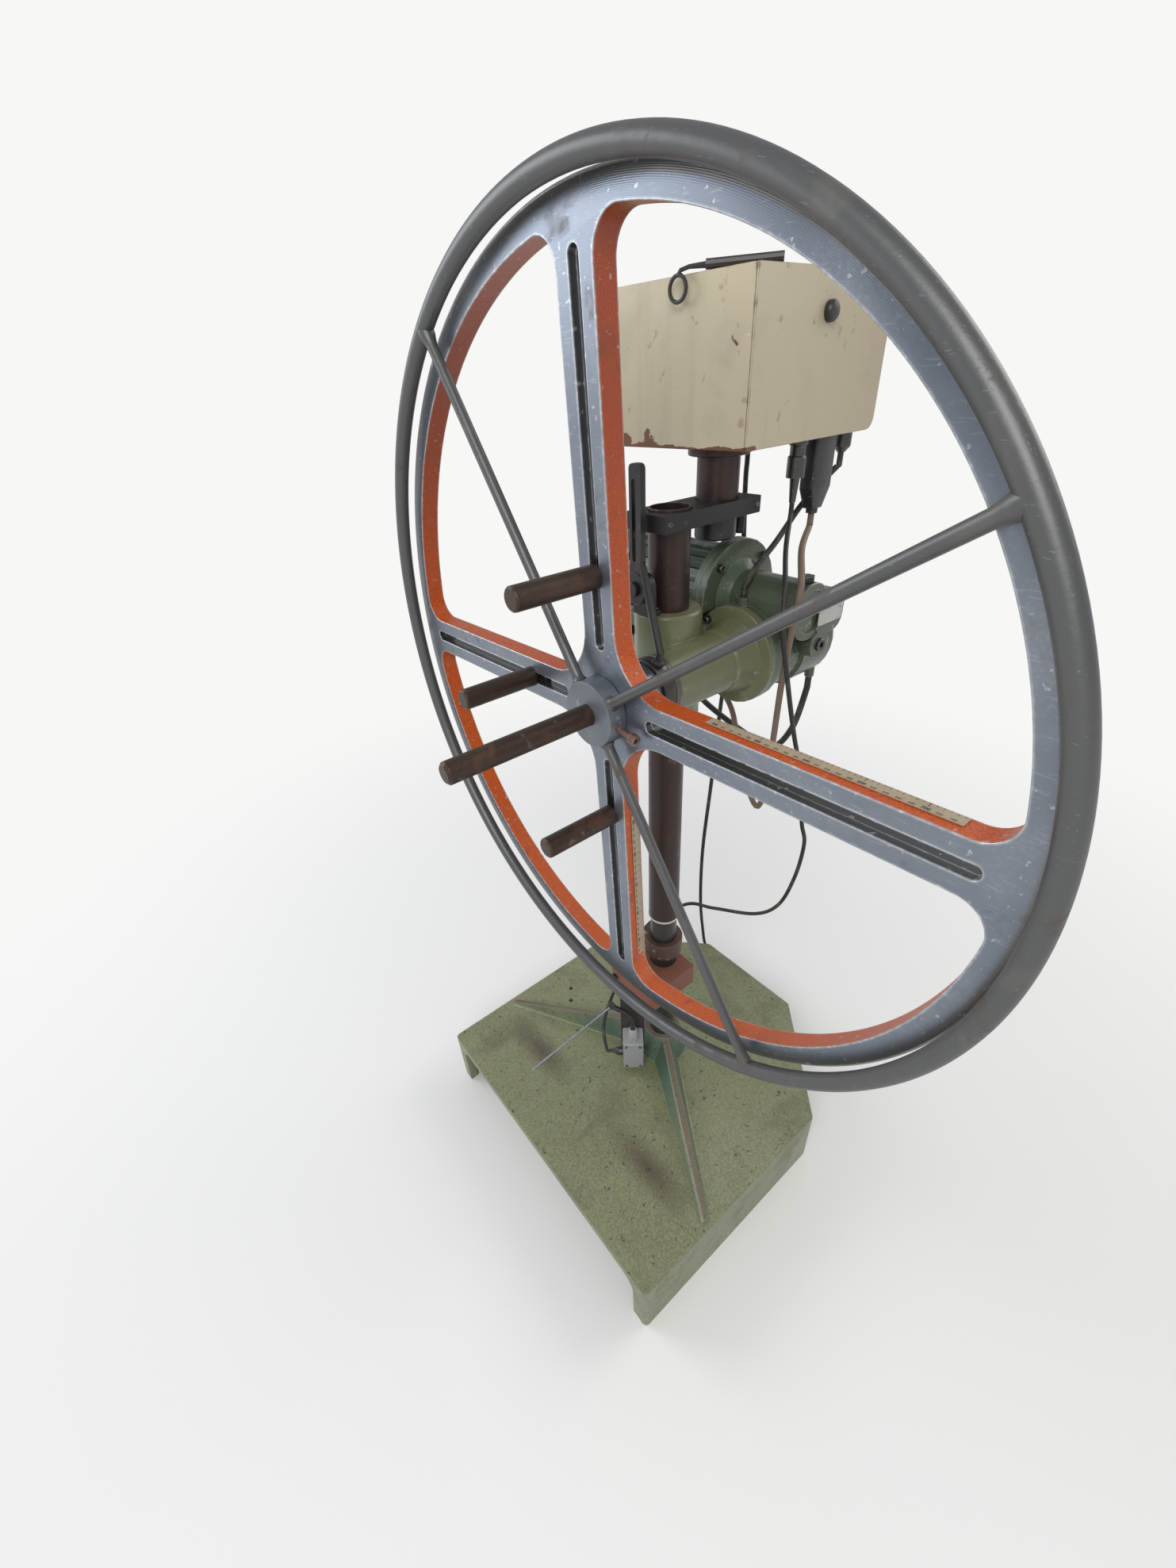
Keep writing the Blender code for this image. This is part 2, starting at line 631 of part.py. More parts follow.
def loft(rings, closed=False):
    """Skins rings of equal length, and caps both ends unless the last joins the first."""
    bm = bmesh.new()
    loops = [[bm.verts.new(point) for point in ring] for ring in rings]
    pairs = list(zip(loops, loops[1:]))
    if closed:
        pairs.append((loops[-1], loops[0]))
    count = len(loops[0])
    for lower, upper in pairs:
        for i in range(count):
            j = (i + 1) % count
            bm.faces.new((lower[i], lower[j], upper[j], upper[i]))
    if not closed:
        bm.faces.new(loops[0])
        bm.faces.new(loops[-1])
    return new_object(bm)


def lathe(profile, axis="Z", segments=ROUND, centre=(0, 0), closed=False):
    """Turns a profile of (radius, height) about an axis through the centre of its plane."""
    rings = []
    for radius, height in profile:
        rings.append([along(axis, a, b, height) for a, b in circle(radius, segments, centre)])
    return loft(rings, closed)


def prism(outline, low, high, axis="Z"):
    """Extrudes an outline along an axis."""
    return loft([[along(axis, a, b, height) for a, b in outline] for height in (low, high)])


def frames_along(points):
    """Two unit vectors square to the path at each of its points, turned as little as possible."""
    tangents = []
    for i in range(len(points)):
        before = points[max(i - 1, 0)]
        after = points[min(i + 1, len(points) - 1)]
        tangents.append((after - before).normalized())
    side = tangents[0].orthogonal().normalized()
    frames = []
    for tangent in tangents:
        side = (side - tangent * side.dot(tangent)).normalized()
        frames.append((side, tangent.cross(side)))
    return frames


def sweep(points, radii, segments=TINY):
    """A round bar through points in space, with a radius at each."""
    points = [Vector(p) for p in points]
    rings = []
    for point, radius, (side, up) in zip(points, radii, frames_along(points)):
        rings.append([tuple(point + side * a + up * b) for a, b in circle(radius, segments)])
    return loft(rings)


def torus(radius, tube_radius, axis, segments, tube_segments):
    """A round ring about an axis."""
    profile = circle(tube_radius, tube_segments, (radius, 0))
    return lathe(profile, axis, segments, closed=True)


def combine(target, tools, operation="UNION"):
    """Joins tools to a piece, or cuts them from it, and leaves one closed mesh."""
    for tool in tools:
        modifier = target.modifiers.new("combine", "BOOLEAN")
        modifier.operation = operation
        modifier.solver = "EXACT"
        modifier.object = tool
    bpy.context.view_layer.update()
    depsgraph = bpy.context.evaluated_depsgraph_get()
    mesh = bpy.data.meshes.new_from_object(target.evaluated_get(depsgraph))
    target.modifiers.clear()
    target.data = mesh
    for tool in tools:
        bpy.data.objects.remove(tool, do_unlink=True)
    return target


def cut(target, tools):
    """Cuts tools from a piece."""
    return combine(target, tools, "DIFFERENCE")


def placed(piece, location=(0, 0, 0), yaw=0.0, tilt=0.0):
    """Places a piece, turned about Y by its tilt and then about Z by its yaw."""
    piece.location = location
    piece.rotation_euler = (0, tilt, yaw)
    return piece


def joint_empty(name, location, yaw=0.0):
    """An empty on a joint's axis, which carries the pieces that move on it."""
    empty = bpy.data.objects.new(name, None)
    empty.location = location
    empty.rotation_euler = (0, 0, yaw)
    bpy.context.collection.objects.link(empty)
    return empty


def finish(piece, name, look, parent=None):
    """Names a piece, gives it its own material and smooth shading, and hangs it on its parent."""
    piece.name = name
    piece.data.name = name
    colour, roughness, metallic = look
    material = bpy.data.materials.new(name)
    material.use_nodes = True
    shader = material.node_tree.nodes["Principled BSDF"]
    shader.inputs["Base Color"].default_value = (*colour, 1)
    shader.inputs["Roughness"].default_value = roughness
    shader.inputs["Metallic"].default_value = metallic
    piece.data.materials.clear()
    piece.data.materials.append(material)
    if piece.type == "MESH":
        piece.data.shade_smooth()
        piece.data.set_sharp_from_angle(angle=SMOOTH_ANGLE)
    if parent is not None:
        bpy.context.view_layer.update()
        piece.parent = parent
        piece.matrix_parent_inverse = parent.matrix_world.inverted()
    return piece


def smooth_route(points, step):
    """Points at an even step on a smooth curve from a route's second point to its last but one."""
    knots = [Vector(p) for p in points]
    dense = []
    for p0, p1, p2, p3 in zip(knots, knots[1:], knots[2:], knots[3:]):
        for i in range(24):
            t = i / 24
            dense.append(0.5 * (2 * p1 + (p2 - p0) * t + (2 * p0 - 5 * p1 + 4 * p2 - p3) * t * t
                                + (3 * p1 - p0 - 3 * p2 + p3) * t ** 3))
    dense.append(knots[-2])
    lengths = [0.0]
    for before, after in zip(dense, dense[1:]):
        lengths.append(lengths[-1] + (after - before).length)
    count = max(2, round(lengths[-1] / step))
    result = []
    k = 0
    for i in range(count + 1):
        target = lengths[-1] * i / count
        while k < len(dense) - 2 and lengths[k + 1] < target:
            k += 1
        share = (target - lengths[k]) / (lengths[k + 1] - lengths[k])
        result.append(dense[k].lerp(dense[k + 1], min(share, 1.0)))
    return result


def cord(name, start, out, route, end, back, radius, look, parent=None):
    """A plain round cord along a smooth route, straight where it leaves its two ends."""
    start = Vector(start)
    end = Vector(end)
    lead = radius * CORD_LEAD_SHARE
    knots = [start, start + Vector(out) * lead] + list(route) + [end + Vector(back) * lead, end]
    curve = bpy.data.curves.new(name, "CURVE")
    curve.dimensions = "3D"
    curve.bevel_depth = radius
    curve.bevel_resolution = 2
    curve.use_fill_caps = True
    points = [start] + smooth_route(knots, radius * CORD_STEP_SHARE) + [end]
    spline = curve.splines.new("POLY")
    spline.points.add(len(points) - 1)
    for slot, point in zip(spline.points, points):
        slot.co = (*point, 1)
    piece = bpy.data.objects.new(name, curve)
    bpy.context.collection.objects.link(piece)
    return finish(piece, name, look, parent)


def polar(radius, angle):
    """A point of the reel's plane, at a radius and an angle from +X towards +Z."""
    return (SPINDLE_X + radius * math.cos(angle), SPINDLE_Z + radius * math.sin(angle))


def on_spindle(piece, tilt=0.0):
    """Places a piece that was modelled about the spindle's axis."""
    return placed(piece, (SPINDLE_X, 0, SPINDLE_Z), 0.0, tilt)


def on_worm(piece):
    """Places a piece that was modelled about the worm's axis, its lengths along X from the column."""
    return placed(piece, (0, WORM_Y, WORM_Z))


def window_outline():
    """One window between two spokes, in its quarter of the reel."""
    side = SPOKE_HALF_WIDTH
    corner = WINDOW_CORNER_RADIUS
    reach = RIM_INNER_RADIUS - corner
    far = math.sqrt(reach ** 2 - (side + corner) ** 2)
    swing = math.atan2(side + corner, far)
    flare = side + HUB_FLARE_RADIUS
    points = arc((flare, flare), HUB_FLARE_RADIUS, math.pi, 1.5 * math.pi, 6)
    points += arc((far, side + corner), corner, -0.5 * math.pi, swing, 5)
    points += arc((0, 0), RIM_INNER_RADIUS, swing, 0.5 * math.pi - swing, 12)[1:-1]
    points += arc((side + corner, far), corner, 0.5 * math.pi - swing, math.pi, 5)
    return points


def slot_outline(half_width):
    """A long hole with round ends, along a spoke that lies on +X."""
    inner = SLOT_INNER_RADIUS
    outer = SLOT_OUTER_RADIUS
    points = arc((outer, 0), half_width, -0.5 * math.pi, 0.5 * math.pi, 4)
    points += arc((inner, 0), half_width, 0.5 * math.pi, 1.5 * math.pi, 4)
    return points


def turned_outline(outline, angle):
    """Turns an outline about the spindle."""
    c = math.cos(angle)
    s = math.sin(angle)
    return [(a * c - b * s, a * s + b * c) for a, b in outline]


def reel_casting(parent):
    """The slotted four-spoke reel: a turned disc with windows, T-slots and a hub boss behind."""
    e = REEL_EDGE
    knee = ROUNDING_SHARE * e
    disc = lathe([(REEL_RADIUS - e, REEL_FACE_Y), (REEL_RADIUS - knee, REEL_FACE_Y + knee),
                  (REEL_RADIUS, REEL_FACE_Y + e), (REEL_RADIUS, REEL_BACK_Y - e),
                  (REEL_RADIUS - knee, REEL_BACK_Y - knee), (REEL_RADIUS - e, REEL_BACK_Y)],
                 "Y", FINE)
    boss = lathe([(REEL_BOSS_ROOT_RADIUS, REEL_BACK_Y - OVERRUN), (REEL_BOSS_ROOT_RADIUS, REEL_BACK_Y),
                  (REEL_BOSS_RADIUS, REEL_BACK_Y + REEL_BOSS_FILLET), (REEL_BOSS_RADIUS, REEL_BOSS_BACK_Y)],
                 "Y")
    combine(disc, [boss])
    cutters = [prism(circle(bore(SPINDLE_RADIUS, SEAT_GAP, SMALL), SMALL), REEL_FACE_Y - OVERRUN,
                     REEL_BOSS_BACK_Y + OVERRUN, "Y")]
    for i in range(SPOKE_COUNT):
        angle = SPOKE_TILT + TURN * i / SPOKE_COUNT
        cutters.append(prism(turned_outline(window_outline(), angle), REEL_FACE_Y - OVERRUN,
                             REEL_BACK_Y + OVERRUN, "Y"))
        cutters.append(prism(turned_outline(slot_outline(SLOT_HALF_WIDTH), angle),
                             REEL_FACE_Y - OVERRUN, REEL_BACK_Y + OVERRUN, "Y"))
        cutters.append(prism(turned_outline(slot_outline(SLOT_LEDGE_HALF_WIDTH), angle),
                             REEL_FACE_Y + SLOT_LIP, REEL_BACK_Y + OVERRUN, "Y"))
    cut(disc, cutters)
    return finish(on_spindle(disc), "reel_casting", ALUMINIUM, parent)


def spindle(parent):
    """The driven shaft, chamfered at its free end."""
    c = SPINDLE_CHAMFER
    piece = lathe([(SPINDLE_RADIUS - c, SPINDLE_FRONT_Y), (SPINDLE_RADIUS, SPINDLE_FRONT_Y + c),
                   (SPINDLE_RADIUS, SPINDLE_REAR_Y - EDGE), (SPINDLE_RADIUS - EDGE, SPINDLE_REAR_Y)],
                  "Y", SMALL)
    return finish(on_spindle(piece), "spindle", RUSTY_STEEL, parent)


def brake_drum(parent):
    """The dark drum between reel and barrel, with a spacer that meets the front bearing."""
    inner = bore(SPINDLE_RADIUS, SEAT_GAP, ROUND)
    back = BEARING_FRONT_Y - SEAT_GAP
    piece = lathe([(inner, DRUM_FRONT_Y), (DRUM_RADIUS - EDGE, DRUM_FRONT_Y),
                   (DRUM_RADIUS, DRUM_FRONT_Y + EDGE), (DRUM_RADIUS, DRUM_BACK_Y - EDGE),
                   (DRUM_RADIUS - EDGE, DRUM_BACK_Y), (DRUM_SPACER_RADIUS, DRUM_BACK_Y),
                   (DRUM_SPACER_RADIUS, back), (inner, back)], "Y", closed=True)
    return finish(on_spindle(piece), "brake_drum", DARK_STEEL, parent)


def rule(name, angle, parent):
    """A thin steel rule on the side of a spoke."""
    low = SPOKE_HALF_WIDTH + SEAT_GAP
    piece = prism(rectangle((RULE_START_RADIUS, low), (RULE_END_RADIUS, low + RULE_THICKNESS)),
                  RULE_CENTRE_Y - 0.5 * RULE_WIDTH, RULE_CENTRE_Y + 0.5 * RULE_WIDTH, "Y")
    return finish(on_spindle(piece, -angle), name, RULE_STEEL, parent)


def wheel_outline(twist):
    """The worm wheel's toothed outline, turned by a twist; one tooth stands at the top."""
    points = []
    for i in range(WHEEL_TEETH):
        centre = 0.25 * TURN + TURN * i / WHEEL_TEETH + twist
        for radius, half in ((WHEEL_ROOT_RADIUS, -WHEEL_ROOT_HALF), (WHEEL_TIP_RADIUS, -WHEEL_TIP_HALF),
                             (WHEEL_TIP_RADIUS, WHEEL_TIP_HALF), (WHEEL_ROOT_RADIUS, WHEEL_ROOT_HALF)):
            angle = centre + half / radius
            points.append((radius * math.cos(angle), radius * math.sin(angle)))
    return points


def worm_wheel(parent):
    """The bronze wheel, its teeth leaning by the worm's lead."""
    lean = WORM_PITCH / (TURN * (WORM_RISE - WHEEL_PITCH_RADIUS))
    rings = []
    for share in (-1, 1):
        offset = share * WHEEL_HALF_WIDTH
        outline = wheel_outline(-lean * offset / WHEEL_PITCH_RADIUS)
        rings.append([(a, WORM_Y + offset, b) for a, b in outline])
    piece = loft(rings)
    hub = lathe([(WHEEL_HUB_RADIUS, WORM_Y - WHEEL_HUB_HALF_WIDTH),
                 (WHEEL_HUB_RADIUS, WORM_Y + WHEEL_HUB_HALF_WIDTH)], "Y", SMALL)
    combine(piece, [hub])
    cut(piece, [prism(circle(bore(SPINDLE_RADIUS, SEAT_GAP, SMALL), SMALL), WORM_Y - WHEEL_HUB_HALF_WIDTH
                      - OVERRUN, WORM_Y + WHEEL_HUB_HALF_WIDTH + OVERRUN, "Y")])
    return finish(on_spindle(piece), "worm_wheel", BRONZE, parent)


def worm_grid():
    """Rings of the worm's thread: each line of a ring lies one step of the helix further along."""
    centre = SPINDLE_X
    start = centre - WORM_PITCH * (WORM_TURNS // 2 + WORM_START_SHARE)
    lines = []
    marks = ((0.5 * WORM_PITCH - WORM_ROOT_HALF, WORM_ROOT_RADIUS),
             (0.5 * WORM_PITCH - WORM_TIP_HALF, WORM_TIP_RADIUS),
             (0.5 * WORM_PITCH + WORM_TIP_HALF, WORM_TIP_RADIUS),
             (0.5 * WORM_PITCH + WORM_ROOT_HALF, WORM_ROOT_RADIUS))
    for k in range(WORM_TURNS * 4 + 1):
        offset, radius = marks[k % 4]
        along_x = start + WORM_PITCH * (k // 4) + offset
        lines.append([(along_x + WORM_PITCH * i / WORM_STEPS, radius * math.cos(TURN * i / WORM_STEPS),
                       radius * math.sin(TURN * i / WORM_STEPS)) for i in range(WORM_STEPS)])
    return lines


def shaft_rings(bm, profile):
    """Rings of a turned shaft about the X axis, as mesh vertices."""
    rings = []
    for radius, along_x in profile:
        rings.append([bm.verts.new((along_x, a, b)) for a, b in circle(radius, WORM_STEPS)])
    return rings


def skin(bm, first, second):
    """Faces between two rings."""
    count = len(first)
    for i in range(count):
        j = (i + 1) % count
        bm.faces.new((first[i], first[j], second[j], second[i]))


def worm_shaft(parent):
    """The worm and its shaft in one piece: a real helical thread that runs out into journals."""
    bm = bmesh.new()
    lines = [[bm.verts.new(p) for p in line] for line in worm_grid()]
    last = WORM_STEPS - 1
    pitch_lines = 4
    for k in range(len(lines) - 1):
        for i in range(last):
            bm.faces.new((lines[k][i], lines[k][i + 1], lines[k + 1][i + 1], lines[k + 1][i]))
        if k + pitch_lines + 1 < len(lines):
            bm.faces.new((lines[k][last], lines[k + pitch_lines][0], lines[k + pitch_lines + 1][0],
                          lines[k + 1][last]))
    left_x = min(v.co.x for v in lines[0]) - WORM_SHOULDER
    right_x = max(v.co.x for v in lines[-1]) + WORM_SHOULDER
    journal = WORM_JOURNAL_RADIUS
    left = shaft_rings(bm, [(WORM_ROOT_RADIUS, left_x), (journal, left_x - WORM_SHOULDER),
                            (journal, MOTOR_SHAFT_END_X + EDGE), (journal - EDGE, MOTOR_SHAFT_END_X)])
    end_x = WORM_BEARING_RIGHT_X + WORM_BEARING_WIDTH + WORM_SHOULDER
    right = shaft_rings(bm, [(WORM_ROOT_RADIUS, right_x), (journal, right_x + WORM_SHOULDER),
                             (journal, end_x - EDGE), (journal - EDGE, end_x)])
    bm.faces.new([lines[k][0] for k in range(pitch_lines + 1)])
    for i in range(last):
        bm.faces.new((left[0][i], left[0][i + 1], lines[0][i + 1], lines[0][i]))
    bm.faces.new((left[0][last], left[0][0], lines[0][0], lines[pitch_lines][0], lines[0][last]))
    tail = len(lines) - 1
    bm.faces.new([lines[k][last] for k in range(tail - pitch_lines, tail + 1)])
    for i in range(last):
        bm.faces.new((lines[tail][i], lines[tail][i + 1], right[0][i + 1], right[0][i]))
    bm.faces.new((lines[tail - pitch_lines][last], lines[tail][0], right[0][0], right[0][last],
                  lines[tail][last]))
    for rings in (left, right):
        for first, second in zip(rings, rings[1:]):
            skin(bm, first, second)
        bm.faces.new(rings[-1])
    return finish(on_worm(new_object(bm)), "worm_shaft", BRIGHT_STEEL, parent)


def bearing(name, axis, place, inner_shaft, outer, start, width):
    """A ball bearing seen as its two rings, with a recessed seal between them."""
    inner = bore(inner_shaft, RUNNING_GAP, SMALL)
    low = inner + BEARING_SEAL_STEP
    high = outer - BEARING_SEAL_STEP
    d = BEARING_SEAL_DEPTH
    end = start + width
    piece = lathe([(inner, start), (low, start), (low, start + d), (high, start + d), (high, start),
                   (outer, start), (outer, end), (inner, end)], axis, SMALL, closed=True)
    return place(piece)


def head_casting(parent):
    """Barrel, cone and flange along the spindle, joined to the sleeve that grips the column."""
    ring_back = BARREL_BACK_Y + BARREL_RING_LENGTH
    barrel = lathe([(BARREL_RADIUS, BARREL_FRONT_Y), (BARREL_RADIUS, BARREL_BACK_Y),
                    (BARREL_RING_RADIUS, BARREL_BACK_Y + EDGE), (BARREL_RING_RADIUS, ring_back),
                    (BARREL_CONE_RADIUS, BARREL_FLANGE_FRONT_Y - EDGE),
                    (BARREL_FLANGE_RADIUS - EDGE, BARREL_FLANGE_FRONT_Y),
                    (BARREL_FLANGE_RADIUS, BARREL_FLANGE_FRONT_Y + EDGE),
                    (BARREL_FLANGE_RADIUS, BARREL_FLANGE_BACK_Y)], "Y")
    on_spindle(barrel)
    sleeve = lathe([(SLEEVE_RADIUS - SLEEVE_FILLET, SLEEVE_BOTTOM_Z),
                    (SLEEVE_RADIUS, SLEEVE_BOTTOM_Z + SLEEVE_FILLET),
                    (SLEEVE_RADIUS, SLEEVE_TOP_Z - SLEEVE_FILLET),
                    (SLEEVE_RADIUS - SLEEVE_FILLET, SLEEVE_TOP_Z)])
    lug = prism(rectangle((-LUG_REACH, -LUG_HALF_WIDTH), (-COLUMN_RADIUS, LUG_HALF_WIDTH), SLEEVE_FILLET),
                LUG_BOTTOM_Z, LUG_TOP_Z)
    combine(barrel, [sleeve, lug])
    pocket = bore(BEARING_RADIUS, SEAT_GAP, SMALL)
    shoulder = BEARING_FRONT_Y + BEARING_WIDTH + SEAT_GAP
    cutters = [
        on_spindle(lathe([(pocket, BARREL_FRONT_Y - OVERRUN), (pocket, shoulder),
                          (BARREL_BORE_RADIUS, shoulder), (BARREL_BORE_RADIUS, BEARING_REAR_Y - SEAT_GAP),
                          (pocket, BEARING_REAR_Y - SEAT_GAP), (pocket, BARREL_FLANGE_BACK_Y + OVERRUN)],
                         "Y", SMALL)),
        prism(circle(bore(COLUMN_RADIUS, SLIDE_GAP, ROUND), ROUND), SLEEVE_BOTTOM_Z - OVERRUN,
              SLEEVE_TOP_Z + OVERRUN),
        prism(rectangle((-LUG_REACH - OVERRUN, -0.5 * CLAMP_SLIT), (0, 0.5 * CLAMP_SLIT)),
              SLEEVE_BOTTOM_Z - OVERRUN, SLEEVE_TOP_Z + OVERRUN)]
    for z in (LUG_BOTTOM_Z + LUG_SCREW_END_INSET, LUG_TOP_Z - LUG_SCREW_END_INSET):
        cutters.append(prism(circle(LUG_SCREW_RADIUS, TINY, (LUG_SCREW_INSET - LUG_REACH, z)),
                             -LUG_HALF_WIDTH - OVERRUN, LUG_HALF_WIDTH + OVERRUN, "Y"))
    cut(barrel, cutters)
    return finish(barrel, "head_casting", OLIVE_PAINT, parent)


def flange_relief():
    """A cutter that keeps the motor's round flanges clear of the barrel's flange."""
    radius = BARREL_FLANGE_RADIUS + EDGE
    back = BARREL_FLANGE_BACK_Y + 0.5 * SEAT_GAP
    return lathe([(radius, back - FLANGE_RELIEF_LENGTH), (radius, back)], "Y", ROUND, (SPINDLE_X, SPINDLE_Z))


def gear_housing(parent):
    """The gearbox body: wheel chamber on the spindle axis, worm tube across, motor flange at its end."""
    body = lathe([(BARREL_FLANGE_RADIUS, HOUSING_FRONT_Y), (BARREL_FLANGE_RADIUS, HOUSING_FLANGE_BACK_Y - EDGE),
                  (BARREL_FLANGE_RADIUS - EDGE, HOUSING_FLANGE_BACK_Y),
                  (HOUSING_NECK_RADIUS, HOUSING_FLANGE_BACK_Y + EDGE), (HOUSING_NECK_RADIUS, HOUSING_STEP_Y),
                  (HOUSING_RADIUS, HOUSING_STEP_Y + EDGE), (HOUSING_RADIUS, HOUSING_BACK_Y)], "Y")
    on_spindle(body)
    flange_end = FLANGE_X + FLANGE_THICKNESS
    tube = on_worm(lathe([(FLANGE_RADIUS - EDGE, FLANGE_X), (FLANGE_RADIUS, FLANGE_X + EDGE),
                          (FLANGE_RADIUS, flange_end - EDGE), (FLANGE_RADIUS - EDGE, flange_end),
                          (FLANGE_CONE_RADIUS, flange_end + EDGE),
                          (TUBE_RADIUS, flange_end + FLANGE_CONE_LENGTH), (TUBE_RADIUS, TUBE_END_X - EDGE),
                          (TUBE_RADIUS - EDGE, TUBE_END_X)], "X"))
    boss = placed(lathe([(BOSS_RADIUS, SPINDLE_X), (BOSS_RADIUS, BOSS_X - EDGE), (BOSS_RADIUS - EDGE, BOSS_X)],
                        "X", SMALL), (0, BOSS_Y, BOSS_Z))
    pad = prism(rectangle((PAD_FRONT_Y, PAD_BOTTOM_Z), (PAD_BACK_Y, PAD_TOP_Z), PAD_CORNER_RADIUS, 4),
                PAD_ROOT_X, PAD_X, "X")
    cable_boss = placed(lathe([(CABLE_BOSS_RADIUS, HOUSING_CAVITY_RADIUS), (CABLE_BOSS_RADIUS, CABLE_BOSS_TOP)],
                              "Z", SMALL), (SPINDLE_X, CABLE_BOSS_Y + EDGE, SPINDLE_Z))
    combine(body, [tube, boss, pad, cable_boss])
    bore_end = bore(WORM_BEARING_RADIUS, SEAT_GAP, SMALL)
    cutters = [
        flange_relief(),
        on_spindle(lathe([(HOUSING_BORE_RADIUS, HOUSING_FRONT_Y - OVERRUN),
                          (HOUSING_BORE_RADIUS, HOUSING_CAVITY_FRONT_Y),
                          (HOUSING_CAVITY_RADIUS, HOUSING_CAVITY_FRONT_Y),
                          (HOUSING_CAVITY_RADIUS, HOUSING_BACK_Y + OVERRUN)], "Y")),
        on_worm(lathe([(bore_end, FLANGE_X - OVERRUN), (bore_end, TUBE_BORE_END_X)], "X", SMALL)),
        on_worm(lathe([(TUBE_CAP_RADIUS, TUBE_END_X - TUBE_CAP_DEPTH), (TUBE_CAP_RADIUS, TUBE_END_X + OVERRUN)],
                      "X", SMALL)),
        placed(lathe([(BOSS_SCREW_RADIUS, BOSS_X - BOSS_SCREW_DEPTH), (BOSS_SCREW_RADIUS, BOSS_X + OVERRUN)],
                     "X", SMALL), (0, BOSS_Y, BOSS_Z)),
        placed(lathe([(bore(ENCODER_CABLE_RADIUS, CORD_GAP, SMALL), CABLE_BOSS_TOP - CORD_BORE_DEPTH),
                      (bore(ENCODER_CABLE_RADIUS, CORD_GAP, SMALL), CABLE_BOSS_TOP + OVERRUN)],
                     "Z", SMALL), (SPINDLE_X, CABLE_BOSS_Y + EDGE, SPINDLE_Z)),
        placed(lathe([(bore(OIL_PLUG_SHANK_RADIUS, SEAT_GAP, TINY), 0),
                      (bore(OIL_PLUG_SHANK_RADIUS, SEAT_GAP, TINY), TUBE_RADIUS + OVERRUN)],
                     "Z", TINY), (OIL_PLUG_X, WORM_Y, WORM_Z + TUBE_BORE_RADIUS + EDGE)),
        placed(lathe([(OIL_PLUG_RADIUS + EDGE, 0), (OIL_PLUG_RADIUS + EDGE, OVERRUN)], "Z", SMALL),
               (OIL_PLUG_X, WORM_Y, WORM_Z + TUBE_RADIUS - EDGE - EDGE))]
    cut(body, cutters)
    return finish(body, "gear_housing", GREEN_PAINT, parent)


def gear_cover(parent):
    """The round cover behind the wheel chamber, with a spigot for the loop cable below."""
    front = HOUSING_BACK_Y + SEAT_GAP
    spigot = HOUSING_CAVITY_RADIUS * math.cos(math.pi / ROUND) - SEAT_GAP
    cover = on_spindle(lathe([(spigot, front - COVER_SPIGOT_LENGTH), (spigot, front), (HOUSING_RADIUS, front),
                              (HOUSING_RADIUS, COVER_BACK_Y - COVER_EDGE),
                              (HOUSING_RADIUS - ROUNDING_SHARE * COVER_EDGE, COVER_BACK_Y - ROUNDING_SHARE * COVER_EDGE),
                              (HOUSING_RADIUS - COVER_EDGE, COVER_BACK_Y)], "Y"))
    boss = placed(lathe([(LOOP_CABLE_RADIUS + BEARING_SEAL_STEP, COVER_CABLE_BOTTOM_Z),
                         (LOOP_CABLE_RADIUS + BEARING_SEAL_STEP, COVER_CABLE_TOP_Z)], "Z", TINY),
                  (COVER_CABLE_X, COVER_CABLE_Y, 0))
    combine(cover, [boss])
    return finish(cover, "gear_cover", GREEN_PAINT, parent)


def oil_plug(parent):
    """A hexagon-headed plug on the worm tube."""
    seat = WORM_Z + TUBE_RADIUS - EDGE - EDGE + SEAT_GAP
    shank = lathe([(OIL_PLUG_SHANK_RADIUS, -OIL_PLUG_SHANK_LENGTH), (OIL_PLUG_SHANK_RADIUS, EDGE)], "Z", TINY)
    head = prism(circle(OIL_PLUG_RADIUS, 6), 0, OIL_PLUG_HEIGHT)
    combine(head, [shank])
    return finish(placed(head, (OIL_PLUG_X, WORM_Y, seat)), "oil_plug", DARK_STEEL, parent)


def fin_outline():
    """The motor's section: a round barrel with cooling fins."""
    points = []
    step = TURN / MOTOR_FIN_COUNT
    for i in range(MOTOR_FIN_COUNT):
        start = (i + MOTOR_FIN_PHASE_SHARE) * step
        for radius, share in ((MOTOR_RADIUS, 0), (MOTOR_FIN_RADIUS, MOTOR_FIN_SLOPE_SHARE),
                              (MOTOR_FIN_RADIUS, MOTOR_FIN_SHARE),
                              (MOTOR_RADIUS, MOTOR_FIN_SHARE + MOTOR_FIN_SLOPE_SHARE)):
            angle = start + share * step
            points.append((radius * math.cos(angle), radius * math.sin(angle)))
    return points


